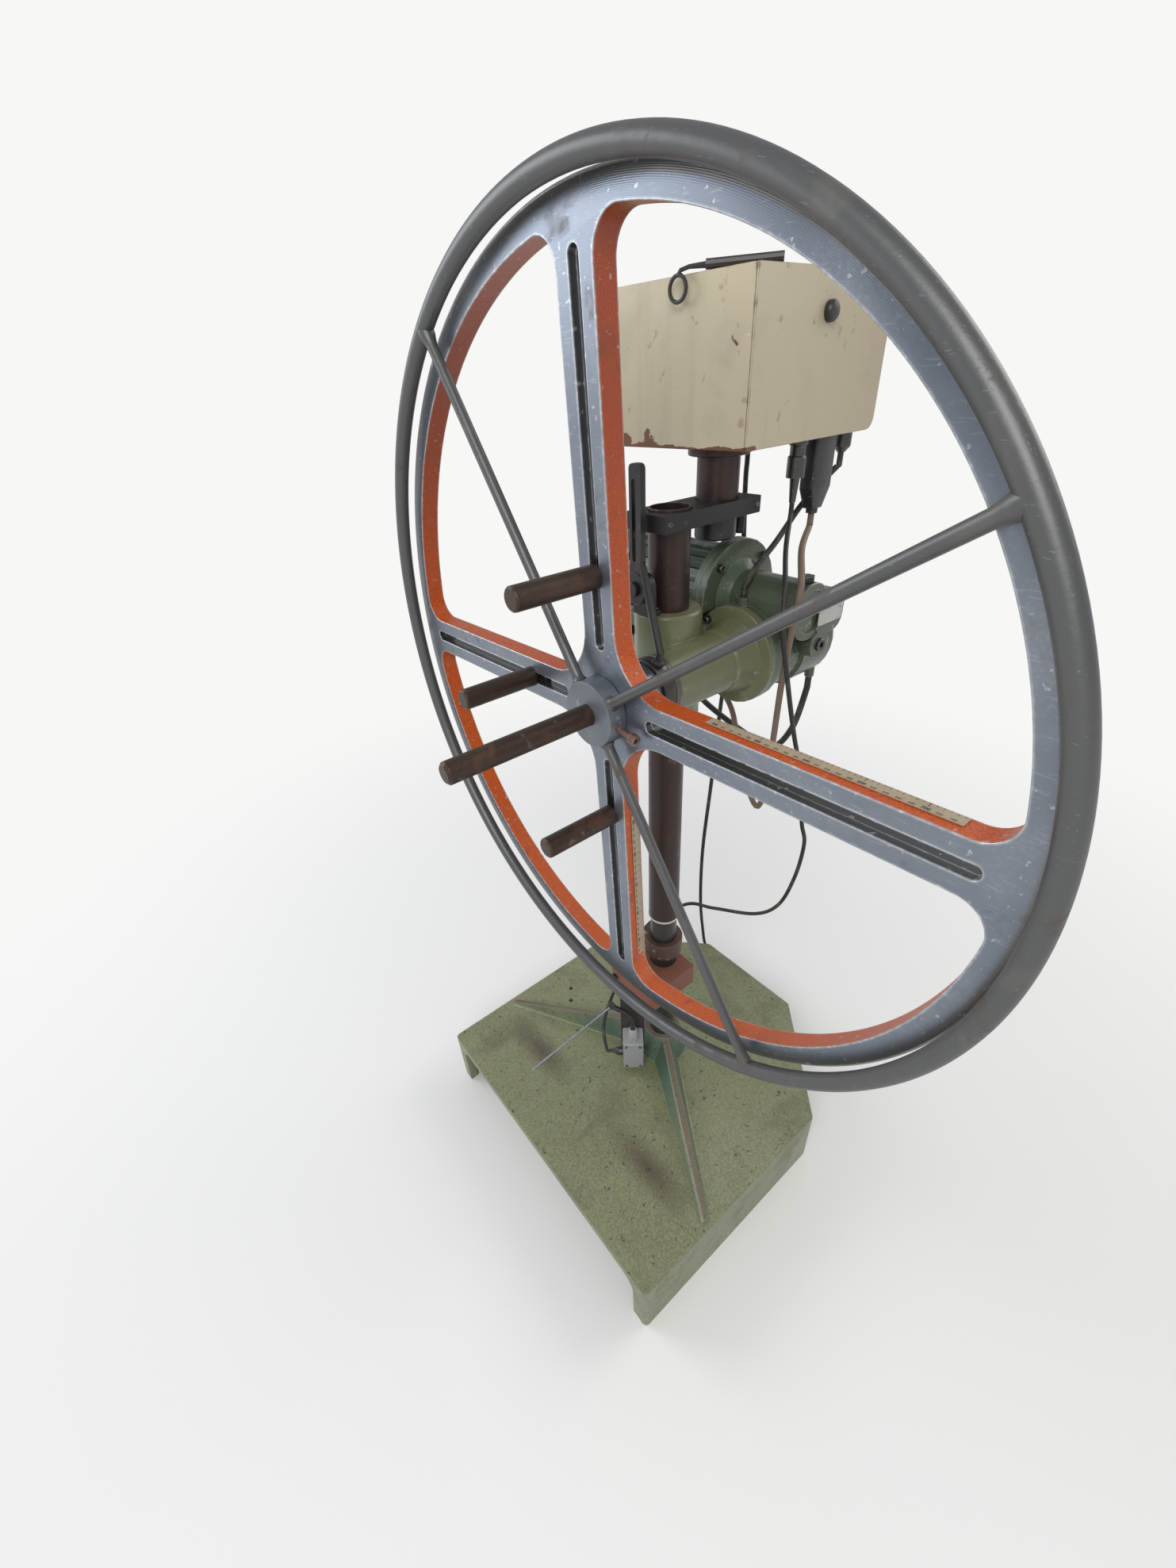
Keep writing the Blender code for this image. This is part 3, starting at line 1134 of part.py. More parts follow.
def motor_body(parent):
    """The finned motor housing with its flange and the pad that carries the terminal box."""
    front = FLANGE_X - SEAT_GAP
    body = prism(fin_outline(), MOTOR_END_X + OVERRUN, front - MOTOR_FIN_START, "X")
    flange = lathe([(MOTOR_NECK_RADIUS, front - MOTOR_FIN_START - OVERRUN),
                    (MOTOR_NECK_RADIUS, front - FLANGE_THICKNESS),
                    (FLANGE_RADIUS - EDGE, front - FLANGE_THICKNESS), (FLANGE_RADIUS, front - FLANGE_THICKNESS
                    + EDGE), (FLANGE_RADIUS, front - EDGE), (FLANGE_RADIUS - EDGE, front)], "X")
    shield = lathe([(COWL_RADIUS, MOTOR_END_X), (COWL_RADIUS, MOTOR_END_X + MOTOR_SHIELD - EDGE),
                    (COWL_RADIUS - EDGE, MOTOR_END_X + MOTOR_SHIELD)], "X")
    pad = prism(rectangle((-MOTOR_PAD_HALF_WIDTH, -MOTOR_PAD_DROP), (MOTOR_PAD_HALF_WIDTH, -MOTOR_BORE_RADIUS
                          - OVERRUN)), TERMINAL_LEFT_X + OVERRUN, TERMINAL_RIGHT_X - OVERRUN, "X")
    combine(body, [flange, shield, pad])
    small = bore(WORM_JOURNAL_RADIUS, RUNNING_GAP, ROUND)
    left = MOTOR_END_X + MOTOR_SHIELD
    right = front - MOTOR_SHIELD
    inner = [lathe([(small, MOTOR_END_X - OVERRUN), (small, left), (MOTOR_BORE_RADIUS, left),
                    (MOTOR_BORE_RADIUS, right), (WORM_ROOT_RADIUS, right),
                    (WORM_ROOT_RADIUS, front + OVERRUN)], "X")]
    cut(body, inner)
    on_worm(body)
    step = HOUSING_FLANGE_BACK_Y + EDGE
    wide = BARREL_FLANGE_RADIUS + EDGE
    narrow = HOUSING_RADIUS + EDGE
    relief = lathe([(wide, HOUSING_FRONT_Y - FLANGE_RELIEF_LENGTH), (wide, step), (narrow, step),
                    (narrow, COVER_BACK_Y)], "Y", ROUND, (SPINDLE_X, SPINDLE_Z))
    cut(body, [relief])
    return finish(body, "motor_body", GREEN_PAINT, parent)


def motor_rotor(parent):
    """The rotor on the worm shaft."""
    inner = bore(WORM_JOURNAL_RADIUS, SEAT_GAP, SMALL)
    piece = lathe([(inner, ROTOR_LEFT_X), (ROTOR_RADIUS, ROTOR_LEFT_X), (ROTOR_RADIUS, ROTOR_RIGHT_X),
                   (inner, ROTOR_RIGHT_X)], "X", SMALL, closed=True)
    return finish(on_worm(piece), "motor_rotor", GREY_STEEL, parent)


def fan_cowl(parent):
    """The cup over the motor's fan, with slots in its end."""
    start = MOTOR_END_X - SEAT_GAP
    inner = COWL_RADIUS - COWL_WALL
    floor = COWL_END_X + COWL_WALL
    cowl = lathe([(inner, start), (COWL_RADIUS, start), (COWL_RADIUS, COWL_END_X + EDGE + EDGE),
                  (COWL_RADIUS - EDGE - EDGE, COWL_END_X), (COWL_SLOT_INNER_RADIUS - OVERRUN, COWL_END_X),
                  (COWL_SLOT_INNER_RADIUS - OVERRUN, floor), (inner, floor)], "X", closed=True)
    slots = []
    half = 0.5 * COWL_SLOT_WIDTH
    for i in range(COWL_SLOT_COUNT):
        outline = rectangle((COWL_SLOT_INNER_RADIUS, -half), (COWL_SLOT_OUTER_RADIUS, half),
                            SLOT_ROUND_SHARE * half, 2)
        slots.append(prism(turned_outline(outline, TURN * i / COWL_SLOT_COUNT), COWL_END_X - OVERRUN,
                           floor + OVERRUN, "X"))
    cut(cowl, slots)
    return finish(on_worm(cowl), "fan_cowl", GREEN_PAINT, parent)


def terminal_box(parent):
    """The box under the motor, with two spigots where its cables come in."""
    top = WORM_Z - TERMINAL_TOP_DROP
    bottom = top - TERMINAL_HEIGHT
    box = prism(rectangle((TERMINAL_LEFT_X, WORM_Y - TERMINAL_HALF_DEPTH),
                          (TERMINAL_RIGHT_X, WORM_Y + TERMINAL_HALF_DEPTH), TERMINAL_CORNER, 3), bottom, top)
    spigots = []
    for x in (HOSE_SPIGOT_X, LOOP_SPIGOT_X):
        spigots.append(placed(lathe([(SPIGOT_RADIUS - EDGE, bottom - SPIGOT_LENGTH),
                                     (SPIGOT_RADIUS, bottom - SPIGOT_LENGTH + EDGE),
                                     (SPIGOT_RADIUS, bottom + OVERRUN)], "Z", TINY), (x, WORM_Y, 0)))
    combine(box, spigots)
    return finish(box, "terminal_box", GREEN_PAINT, parent)


def lever_bracket(parent):
    """The small upright plate on the sleeve, with the lever's pivot stud."""
    back = BRACKET_FRONT_Y + BRACKET_THICKNESS
    foot_z = SLEEVE_TOP_Z + SEAT_GAP
    w = BRACKET_HALF_WIDTH
    outline = [(-w, foot_z), (w, foot_z)] + arc((0, LEVER_AXIS_Z), w, 0, math.pi, 10)
    plate = prism(outline, BRACKET_FRONT_Y, back, "Y")
    foot = prism(rectangle((-w, BRACKET_FRONT_Y), (w, BRACKET_FOOT_REAR_Y)), foot_z,
                 foot_z + BRACKET_FOOT_THICKNESS)
    head_back = LEVER_FRONT_Y - SEAT_GAP
    stud = lathe([(PIVOT_HEAD_RADIUS - EDGE, head_back - PIVOT_HEAD_LENGTH),
                  (PIVOT_HEAD_RADIUS, head_back - PIVOT_HEAD_LENGTH + EDGE), (PIVOT_HEAD_RADIUS, head_back),
                  (PIVOT_RADIUS, head_back), (PIVOT_RADIUS, BRACKET_FRONT_Y + OVERRUN)], "Y", SMALL,
                 (0, LEVER_AXIS_Z))
    combine(plate, [foot, stud])
    return finish(plate, "lever_bracket", BLACK_PAINT, parent)


def brake_lever(parent):
    """The slotted hand lever with its hub, and the rod that carries the brake pad to the drum."""
    hub = lathe([(LEVER_HUB_RADIUS - EDGE, LEVER_FRONT_Y), (LEVER_HUB_RADIUS, LEVER_FRONT_Y + EDGE),
                 (LEVER_HUB_RADIUS, LEVER_BACK_Y - EDGE), (LEVER_HUB_RADIUS - EDGE, LEVER_BACK_Y)], "Y",
                SMALL, (0, LEVER_AXIS_Z))
    arm = prism(rectangle((-LEVER_HALF_WIDTH, LEVER_AXIS_Z), (LEVER_HALF_WIDTH, LEVER_TOP_Z),
                          LEVER_ROUND_SHARE * LEVER_HALF_WIDTH, 3), LEVER_FRONT_Y + EDGE + EDGE, LEVER_BACK_Y - EDGE - EDGE, "Y")
    axis = Vector((SPINDLE_X, BRAKE_PAD_Y, SPINDLE_Z))
    inward = (Vector(BRAKE_ROD_FOOT) - axis).normalized()
    end = axis + inward * (DRUM_RADIUS + BRAKE_PAD_THICKNESS + SEAT_GAP)
    rod = sweep([BRAKE_ROD_TOP, BRAKE_ROD_FOOT, end], [BRAKE_ROD_RADIUS] * 3)
    combine(hub, [arm, rod])
    slot = prism(rectangle((LEVER_SLOT_X - LEVER_SLOT_HALF_WIDTH, LEVER_SLOT_BOTTOM_Z),
                           (LEVER_SLOT_X + LEVER_SLOT_HALF_WIDTH, LEVER_SLOT_TOP_Z),
                           SLOT_ROUND_SHARE * LEVER_SLOT_HALF_WIDTH, 2), LEVER_FRONT_Y - OVERRUN, LEVER_BACK_Y + OVERRUN, "Y")
    eye = lathe([(bore(PIVOT_RADIUS, RUNNING_GAP, SMALL), LEVER_FRONT_Y - OVERRUN),
                 (bore(PIVOT_RADIUS, RUNNING_GAP, SMALL), LEVER_BACK_Y + OVERRUN)], "Y", SMALL,
                (0, LEVER_AXIS_Z))
    cut(hub, [slot, eye])
    return finish(hub, "brake_lever", BLACK_PAINT, parent)


def brake_pad(parent):
    """The pad at the rod's foot, square to the drum's rim."""
    foot = Vector((BRAKE_ROD_FOOT[0] - SPINDLE_X, 0, BRAKE_ROD_FOOT[2] - SPINDLE_Z))
    tilt = math.atan2(foot.x, foot.z)
    reach = DRUM_RADIUS + SEAT_GAP
    piece = lathe([(BRAKE_PAD_RADIUS, reach), (BRAKE_PAD_RADIUS, reach + PAD_STRAIGHT_SHARE * BRAKE_PAD_THICKNESS),
                   (BRAKE_ROD_RADIUS, reach + BRAKE_PAD_THICKNESS - SEAT_GAP - SEAT_GAP)], "Z", TINY)
    placed(piece, (SPINDLE_X, BRAKE_PAD_Y, SPINDLE_Z), 0.0, tilt)
    return finish(piece, "brake_pad", BLACK_RUBBER, parent)


def guard_ring(parent):
    """The welded guard: a tube ring on three rods from a bored hub."""
    ring = torus(GUARD_RADIUS, GUARD_TUBE_RADIUS, "Y", GUARD_SEGMENTS, 8)
    ring.location = (0, GUARD_CENTRE_Y, 0)
    hub_back = REEL_FACE_Y - SEAT_GAP
    hub = lathe([(GUARD_HUB_RADIUS - EDGE, GUARD_HUB_FRONT_Y), (GUARD_HUB_RADIUS, GUARD_HUB_FRONT_Y + EDGE),
                 (GUARD_HUB_RADIUS, hub_back)], "Y")
    rods = []
    for angle in GUARD_ROD_ANGLES:
        rod = lathe([(GUARD_ROD_RADIUS, SPINDLE_RADIUS + OVERRUN), (GUARD_ROD_RADIUS, GUARD_RADIUS)], "X", 8)
        rods.append(placed(rod, (0, GUARD_CENTRE_Y, 0), 0.0, -angle))
    combine(hub, [ring] + rods)
    eye = lathe([(bore(SPINDLE_RADIUS, SLIDE_GAP, SMALL), GUARD_HUB_FRONT_Y - OVERRUN),
                 (bore(SPINDLE_RADIUS, SLIDE_GAP, SMALL), hub_back + OVERRUN)], "Y", SMALL)
    hole = bore(GUARD_SCREW_RADIUS, SEAT_GAP, TINY)
    screw_hole = placed(lathe([(hole, 0), (hole, GUARD_HUB_RADIUS + OVERRUN)], "X", TINY),
                        (0, 0.5 * (GUARD_HUB_FRONT_Y + hub_back), 0), 0.0, -GUARD_SCREW_ANGLE)
    cut(hub, [eye, screw_hole])
    return finish(on_spindle(hub), "guard_ring", GREY_STEEL, parent)


def guard_screw(parent):
    """The socket screw that clamps the guard's hub, half unscrewed."""
    top = GUARD_SCREW_OUTER_RADIUS
    head_top = top + GUARD_SCREW_HEAD_LENGTH
    screw = lathe([(GUARD_SCREW_RADIUS, GUARD_SCREW_INNER_RADIUS), (GUARD_SCREW_RADIUS, top),
                   (GUARD_SCREW_HEAD_RADIUS, top), (GUARD_SCREW_HEAD_RADIUS, head_top)], "X", TINY)
    socket = prism(circle(GUARD_SCREW_SOCKET_RADIUS, 6), head_top - GUARD_SCREW_SOCKET_DEPTH,
                   head_top + OVERRUN, "X")
    cut(screw, [socket])
    centre_y = 0.5 * (GUARD_HUB_FRONT_Y + REEL_FACE_Y - SEAT_GAP)
    placed(screw, (SPINDLE_X, centre_y, SPINDLE_Z), 0.0, -GUARD_SCREW_ANGLE)
    return finish(screw, "guard_screw", DARK_STEEL, parent)


def coil_pin(name, angle, parent):
    """A coil pin that stands on the reel's face, its shank passing the slot."""
    face = REEL_FACE_Y - SEAT_GAP
    tip = face - PIN_LENGTH
    nut_back = REEL_FACE_Y + SLOT_LIP + SEAT_GAP + NUT_THICKNESS
    piece = lathe([(PIN_RADIUS - PIN_CHAMFER, tip), (PIN_RADIUS, tip + PIN_CHAMFER), (PIN_RADIUS, face),
                   (PIN_SHANK_RADIUS, face), (PIN_SHANK_RADIUS, nut_back)], "Y", SMALL)
    x, z = polar(PIN_CIRCLE_RADIUS, angle)
    return finish(placed(piece, (x, 0, z), 0.0, -angle), name, RUSTY_STEEL, parent)


def pin_nut(name, angle, parent):
    """The T-nut that draws a coil pin against the slot's lip."""
    front = REEL_FACE_Y + SLOT_LIP + SEAT_GAP
    nut = prism(rectangle((-NUT_HALF_LENGTH, -NUT_HALF_WIDTH), (NUT_HALF_LENGTH, NUT_HALF_WIDTH)), front,
                front + NUT_THICKNESS, "Y")
    cut(nut, [prism(circle(bore(PIN_SHANK_RADIUS, SEAT_GAP, SMALL), SMALL), front - OVERRUN,
                    front + NUT_THICKNESS + OVERRUN, "Y")])
    x, z = polar(PIN_CIRCLE_RADIUS, angle)
    return finish(placed(nut, (x, 0, z), 0.0, -angle), name, DARK_STEEL, parent)


def base_outline():
    """The base's plan: square at the front, its rear corners cut off."""
    return [(-BASE_HALF_WIDTH, BASE_FRONT_Y), (BASE_HALF_WIDTH, BASE_FRONT_Y),
            (BASE_HALF_WIDTH, BASE_SHOULDER_Y), (BASE_REAR_HALF_WIDTH, BASE_REAR_Y),
            (-BASE_REAR_HALF_WIDTH, BASE_REAR_Y), (-BASE_HALF_WIDTH, BASE_SHOULDER_Y)]


def base_rib(side):
    """A sloping rib from the boss towards a front corner."""
    length = math.hypot(RIB_TIP_X, RIB_TIP_Y)
    yaw = math.atan2(RIB_TIP_Y, side * RIB_TIP_X)
    sections = []
    for x, root, ridge, rise in ((RIB_START, RIB_ROOT_HALF_WIDTH, RIB_RIDGE_HALF_WIDTH, RIB_RISE),
                                 (length, RIB_TIP_HALF_WIDTH, RIB_TIP_RIDGE_HALF_WIDTH, RIB_TIP_RISE)):
        sections.append([(x, -root, -OVERRUN), (x, root, -OVERRUN), (x, root, 0), (x, ridge, rise),
                         (x, -ridge, rise), (x, -root, 0)])
    return placed(loft(sections), (0, 0, BASE_HEIGHT), yaw)


def base_casting():
    """The cast foot: a plate with skirts, open below and at the front, a boss and two ribs."""
    shell = prism(rounded(base_outline(), BASE_CORNER, 3), 0, BASE_HEIGHT)
    hollow = prism(inset(base_outline(), BASE_WALL), -OVERRUN, BASE_HEIGHT - BASE_WALL)
    reach = BASE_HALF_WIDTH - ARCH_LEG_WIDTH
    top = BASE_HEIGHT - BASE_WALL
    arch = [(-reach, -OVERRUN), (reach, -OVERRUN)]
    arch += arc((reach - ARCH_RADIUS, top - ARCH_RADIUS), ARCH_RADIUS, 0, 0.25 * TURN, 4)
    arch += arc((ARCH_RADIUS - reach, top - ARCH_RADIUS), ARCH_RADIUS, 0.25 * TURN, 0.5 * TURN, 4)
    cut(shell, [hollow, prism(arch, BASE_FRONT_Y - OVERRUN, BASE_FRONT_Y + BASE_WALL + OVERRUN, "Y")])
    boss = lathe([(BOSS_FOOT_RADIUS, 0), (BOSS_FOOT_RADIUS, BASE_HEIGHT), (BOSS_TOP_RADIUS + EDGE, BOSS_TOP_Z
                  - EDGE), (BOSS_TOP_RADIUS, BOSS_TOP_Z)])
    combine(shell, [boss, base_rib(1), base_rib(-1)])
    socket = bore(POST_RADIUS, SEAT_GAP, ROUND)
    cutters = [lathe([(socket, SOCKET_FLOOR_Z), (socket, BOSS_TOP_Z + OVERRUN)])]
    for x, y in BASE_HOLES:
        cutters.append(prism(circle(BASE_HOLE_RADIUS, TINY, (x, y)), BASE_HEIGHT - BASE_WALL - OVERRUN,
                             BASE_HEIGHT + OVERRUN))
    cut(shell, cutters)
    return finish(shell, "base_casting", OLIVE_PAINT)


def column():
    """Post, column tube and the white ring where the tube ends."""
    c = EDGE
    post_foot = SOCKET_FLOOR_Z + SEAT_GAP
    post = lathe([(POST_RADIUS - c, post_foot), (POST_RADIUS, post_foot + c), (POST_RADIUS, POST_TOP_Z - c),
                  (POST_RADIUS - c, POST_TOP_Z)])
    finish(post, "post", BLACK_PAINT)
    tube = lathe([(COLUMN_INNER_RADIUS, COLUMN_BOTTOM_Z), (COLUMN_RADIUS, COLUMN_BOTTOM_Z),
                  (COLUMN_RADIUS, COLUMN_TOP_Z - c), (COLUMN_RADIUS - c, COLUMN_TOP_Z),
                  (COLUMN_INNER_RADIUS, COLUMN_TOP_Z)], closed=True)
    finish(tube, "column_tube", RUSTY_STEEL)
    inner = bore(POST_RADIUS, SEAT_GAP, ROUND)
    top = COLUMN_BOTTOM_Z - SEAT_GAP
    ring = lathe([(inner, END_RING_BOTTOM_Z), (END_RING_RADIUS, END_RING_BOTTOM_Z), (END_RING_RADIUS, top),
                  (inner, top)], closed=True)
    finish(ring, "end_ring", WHITE_PLASTIC)


def split_ring_slit(width, reach, low, high):
    """A cutter that splits a clamping ring towards -X."""
    return prism(rectangle((-reach, -0.5 * width), (0, 0.5 * width)), low - OVERRUN, high + OVERRUN)


def foot_fittings():
    """The split collar and the bracket block on the post."""
    inner = bore(POST_RADIUS, SEAT_GAP, ROUND)
    collar = lathe([(inner, COLLAR_BOTTOM_Z), (COLLAR_RADIUS - EDGE, COLLAR_BOTTOM_Z),
                    (COLLAR_RADIUS, COLLAR_BOTTOM_Z + EDGE), (COLLAR_RADIUS, COLLAR_TOP_Z - EDGE),
                    (COLLAR_RADIUS - EDGE, COLLAR_TOP_Z), (inner, COLLAR_TOP_Z)], closed=True)
    cut(collar, [split_ring_slit(COLLAR_SLIT, COLLAR_RADIUS + OVERRUN, COLLAR_BOTTOM_Z, COLLAR_TOP_Z)])
    finish(collar, "foot_collar", DARK_STEEL)
    w = FOOT_BRACKET_HALF_WIDTH
    block = prism(rectangle((-w, FOOT_BRACKET_FRONT_Y), (w, FOOT_BRACKET_REAR_Y), FOOT_BRACKET_CORNER, 2),
                  FOOT_BRACKET_BOTTOM_Z, FOOT_BRACKET_TOP_Z)
    cut(block, [prism(circle(inner, ROUND), FOOT_BRACKET_BOTTOM_Z - OVERRUN, FOOT_BRACKET_TOP_Z + OVERRUN),
                split_ring_slit(CLAMP_SLIT, w + OVERRUN, FOOT_BRACKET_BOTTOM_Z, FOOT_BRACKET_TOP_Z)])
    finish(block, "foot_bracket", RED_PAINT)


def at_switch(piece, height=0.0):
    """Places a piece of the limit switch, whose own front looks to its local -Y."""
    return placed(piece, (SWITCH_X, SWITCH_Y, height), SWITCH_YAW)


def limit_switch():
    """Hanger, switch body, its wobble-stick head and the gland on its hidden side."""
    plate_front = SWITCH_DEPTH + SEAT_GAP
    plate_back = plate_front + HANGER_THICKNESS
    top = FOOT_BRACKET_BOTTOM_Z - SEAT_GAP
    under = top - HANGER_THICKNESS
    bend = (plate_back + HANGER_BEND - HANGER_THICKNESS, top - HANGER_BEND)
    profile = [(plate_front, HANGER_BOTTOM_Z), (plate_back, HANGER_BOTTOM_Z)]
    profile += [(plate_back, under - HANGER_BEND + HANGER_THICKNESS), (plate_back + HANGER_BEND
                - HANGER_THICKNESS, under), (plate_back + HANGER_FOOT, under), (plate_back + HANGER_FOOT, top)]
    profile += arc(bend, HANGER_BEND, 0.25 * TURN, 0.5 * TURN, 3)
    hanger = prism(profile, -HANGER_HALF_WIDTH, HANGER_HALF_WIDTH, "X")
    finish(at_switch(hanger), "switch_hanger", DARK_STEEL)
    body = prism(rectangle((-SWITCH_HALF_WIDTH, 0), (SWITCH_HALF_WIDTH, SWITCH_DEPTH), SWITCH_CORNER, 2),
                 SWITCH_BOTTOM_Z, SWITCH_TOP_Z)
    finish(at_switch(body), "switch_body", ALUMINIUM)
    low = SWITCH_TOP_Z + SEAT_GAP
    head = placed(prism(circle(STICK_HEAD_RADIUS, 6, (0, STICK_DEPTH)), low, STICK_NUT_TOP_Z))
    neck = lathe([(STICK_HEAD_RADIUS - EDGE, STICK_NUT_TOP_Z - OVERRUN), (STICK_HEAD_RADIUS - EDGE,
                  STICK_NUT_TOP_Z + EDGE), (STICK_NECK_RADIUS + EDGE, STICK_HEAD_TOP_Z - EDGE),
                  (STICK_NECK_RADIUS, STICK_HEAD_TOP_Z)], "Z", SMALL, (0, STICK_DEPTH))
    combine(head, [neck])
    cut(head, [lathe([(STICK_BORE_RADIUS, STICK_PIVOT_Z - OVERRUN), (STICK_NECK_RADIUS - EDGE, STICK_HEAD_TOP_Z
                      + EDGE)], "Z", TINY, (0, STICK_DEPTH))])
    finish(at_switch(head), "switch_head", ALUMINIUM)
    start = SWITCH_HALF_WIDTH + SEAT_GAP
    end = start + SWITCH_GLAND_LENGTH
    gland = lathe([(SWITCH_GLAND_RADIUS, -start), (SWITCH_GLAND_RADIUS, 0.5 * SWITCH_GLAND_LENGTH - end),
                   (SENSOR_CABLE_RADIUS + EDGE, -end)], "X", TINY, (0.5 * SWITCH_DEPTH, SWITCH_GLAND_Z))
    finish(at_switch(gland), "switch_gland", BLACK_PLASTIC)


def feeler_pivot():
    """The place in the switch head about which the feeler tilts."""
    return (SWITCH_X - STICK_DEPTH * math.sin(SWITCH_YAW), SWITCH_Y + STICK_DEPTH * math.cos(SWITCH_YAW),
            STICK_PIVOT_Z)


def feeler_arm(parent):
    """The black stick, its elbow and cap, and the thin steel rod that feels the strip."""
    start = Vector((0, 0, 0))
    knee = Vector((0, 0, FEELER_KNEE_SHARE * FEELER_BEND[2]))
    elbow = Vector(FEELER_ELBOW)
    bend = Vector(FEELER_BEND)
    tip = Vector(FEELER_TIP)
    stick = sweep([start, knee, knee.lerp(elbow, FEELER_KNEE_SHARE), elbow, elbow.lerp(bend, 0.5), bend],
                  [STICK_RADIUS] * 5 + [STICK_RADIUS])
    towards = (tip - bend).normalized()
    cap = sweep([bend - towards * FEELER_CAP_RADIUS, bend + towards * FEELER_CAP_RADIUS],
                [FEELER_CAP_RADIUS, FEELER_CAP_RADIUS])
    rod = sweep([bend, bend.lerp(tip, 0.5), tip], [FEELER_ROD_RADIUS] * 3, 8)
    combine(stick, [cap, rod])
    return finish(placed(stick, feeler_pivot()), "feeler_arm", BLACK_RUBBER, parent)


def clamp_plate():
    """The black plate that grips the column and the upper tube, with the stud below it."""
    w = PLATE_HALF_WIDTH
    plate = prism(rectangle((-w, PLATE_FRONT_Y), (w, PLATE_REAR_Y), PLATE_CORNER, 2), PLATE_BOTTOM_Z, PLATE_TOP_Z)
    stud = lathe([(STUD_RADIUS - EDGE, STUD_BOTTOM_Z), (STUD_RADIUS, STUD_BOTTOM_Z + EDGE),
                  (STUD_RADIUS, PLATE_BOTTOM_Z + OVERRUN)], "Z", TINY, (STUD_X, STUD_Y))
    combine(plate, [stud])
    half = 0.5 * CLAMP_SLIT
    hole = bore(COLUMN_RADIUS, SEAT_GAP, ROUND)
    cutters = [prism(circle(hole, ROUND), PLATE_BOTTOM_Z - OVERRUN, PLATE_TOP_Z + OVERRUN),
               prism(circle(hole, ROUND, (0, UPPER_TUBE_Y)), PLATE_BOTTOM_Z - OVERRUN, PLATE_TOP_Z + OVERRUN),
               prism(rectangle((-half, PLATE_FRONT_Y - OVERRUN), (half, 0)), PLATE_BOTTOM_Z - OVERRUN,
                     PLATE_TOP_Z + OVERRUN),
               prism(rectangle((-half, UPPER_TUBE_Y), (half, PLATE_REAR_Y + OVERRUN)), PLATE_BOTTOM_Z - OVERRUN,
                     PLATE_TOP_Z + OVERRUN)]
    cut(plate, cutters)
    finish(plate, "clamp_plate", BLACK_PAINT)


def upper_tube():
    """The tube with its welded flange under the control box, and the plug in its lower end."""
    inner = COLUMN_RADIUS - UPPER_TUBE_WALL
    top = UPPER_TUBE_TOP_Z + TOP_FLANGE_THICKNESS
    tube = lathe([(inner, PLATE_BOTTOM_Z), (COLUMN_RADIUS, PLATE_BOTTOM_Z), (COLUMN_RADIUS, UPPER_TUBE_TOP_Z),
                  (TOP_FLANGE_RADIUS - EDGE, UPPER_TUBE_TOP_Z), (TOP_FLANGE_RADIUS, UPPER_TUBE_TOP_Z + EDGE),
                  (TOP_FLANGE_RADIUS, top), (inner, top)], closed=True, centre=(0, 0))
    finish(placed(tube, (0, UPPER_TUBE_Y, 0)), "upper_tube", RUSTY_STEEL)
    seat = PLATE_BOTTOM_Z - SEAT_GAP
    spigot = inner * math.cos(math.pi / ROUND) - SEAT_GAP
    plug = lathe([(PLUG_RADIUS - EDGE - EDGE, PLUG_BOTTOM_Z), (PLUG_RADIUS, PLUG_BOTTOM_Z + EDGE + EDGE),
                  (PLUG_RADIUS, seat), (spigot, seat), (spigot, seat + PLUG_SPIGOT_LENGTH)])
    finish(placed(plug, (0, UPPER_TUBE_Y, 0)), "tube_plug", BLACK_PLASTIC)


def at_box(piece, x=0.0, y=0.0, z=0.0):
    """Places a piece by its distances from the control box's lower front right corner."""
    c = math.cos(BOX_YAW)
    s = math.sin(BOX_YAW)
    return placed(piece, (BOX_X + x * c - y * s, BOX_Y + x * s + y * c, BOX_Z + z), BOX_YAW)


def box_shell():
    """The sheet-metal case, open on its right side."""
    right = -DOOR_THICKNESS - SEAT_GAP
    shell = prism(rectangle((-BOX_WIDTH, 0), (right, BOX_HEIGHT), BOX_EDGE, 2), 0, BOX_DEPTH, "Y")
    t = BOX_WALL
    cut(shell, [prism(rectangle((t - BOX_WIDTH, t), (right + OVERRUN, BOX_HEIGHT - t)), t, BOX_DEPTH - t, "Y"),
                prism(rectangle((right - BOX_EDGE, t), (right + OVERRUN, BOX_HEIGHT - t)), t, BOX_DEPTH - t, "Y")])
    finish(at_box(shell), "box_shell", CREAM_PAINT)


def box_door(parent):
    """The right-hand panel, hinged along its lower edge, and its knob."""
    corners = rectangle((0, 0), (BOX_DEPTH, BOX_HEIGHT))
    r = DOOR_CORNER
    outline = [corners[0]] + arc((BOX_DEPTH - r, r), r, -0.25 * TURN, 0, 4) + corners[2:]
    panel = prism(outline, -DOOR_THICKNESS, 0, "X")
    hole = bore(KNOB_SHANK_RADIUS, SEAT_GAP, TINY)
    cut(panel, [lathe([(hole, -DOOR_THICKNESS - OVERRUN), (hole, OVERRUN)], "X", TINY, (KNOB_Y, KNOB_Z))])
    finish(at_box(panel), "box_door", CREAM_PAINT, parent)
    knob = lathe([(KNOB_SHANK_RADIUS, -KNOB_SHANK_LENGTH), (KNOB_SHANK_RADIUS, SEAT_GAP),
                  (KNOB_RADIUS, SEAT_GAP)]
                 + [(a * KNOB_RADIUS, b * KNOB_THICKNESS) for a, b in KNOB_DOME_SHARES], "X", SMALL,
                 (KNOB_Y, KNOB_Z))
    finish(at_box(knob), "door_knob", BLACK_PLASTIC, parent)


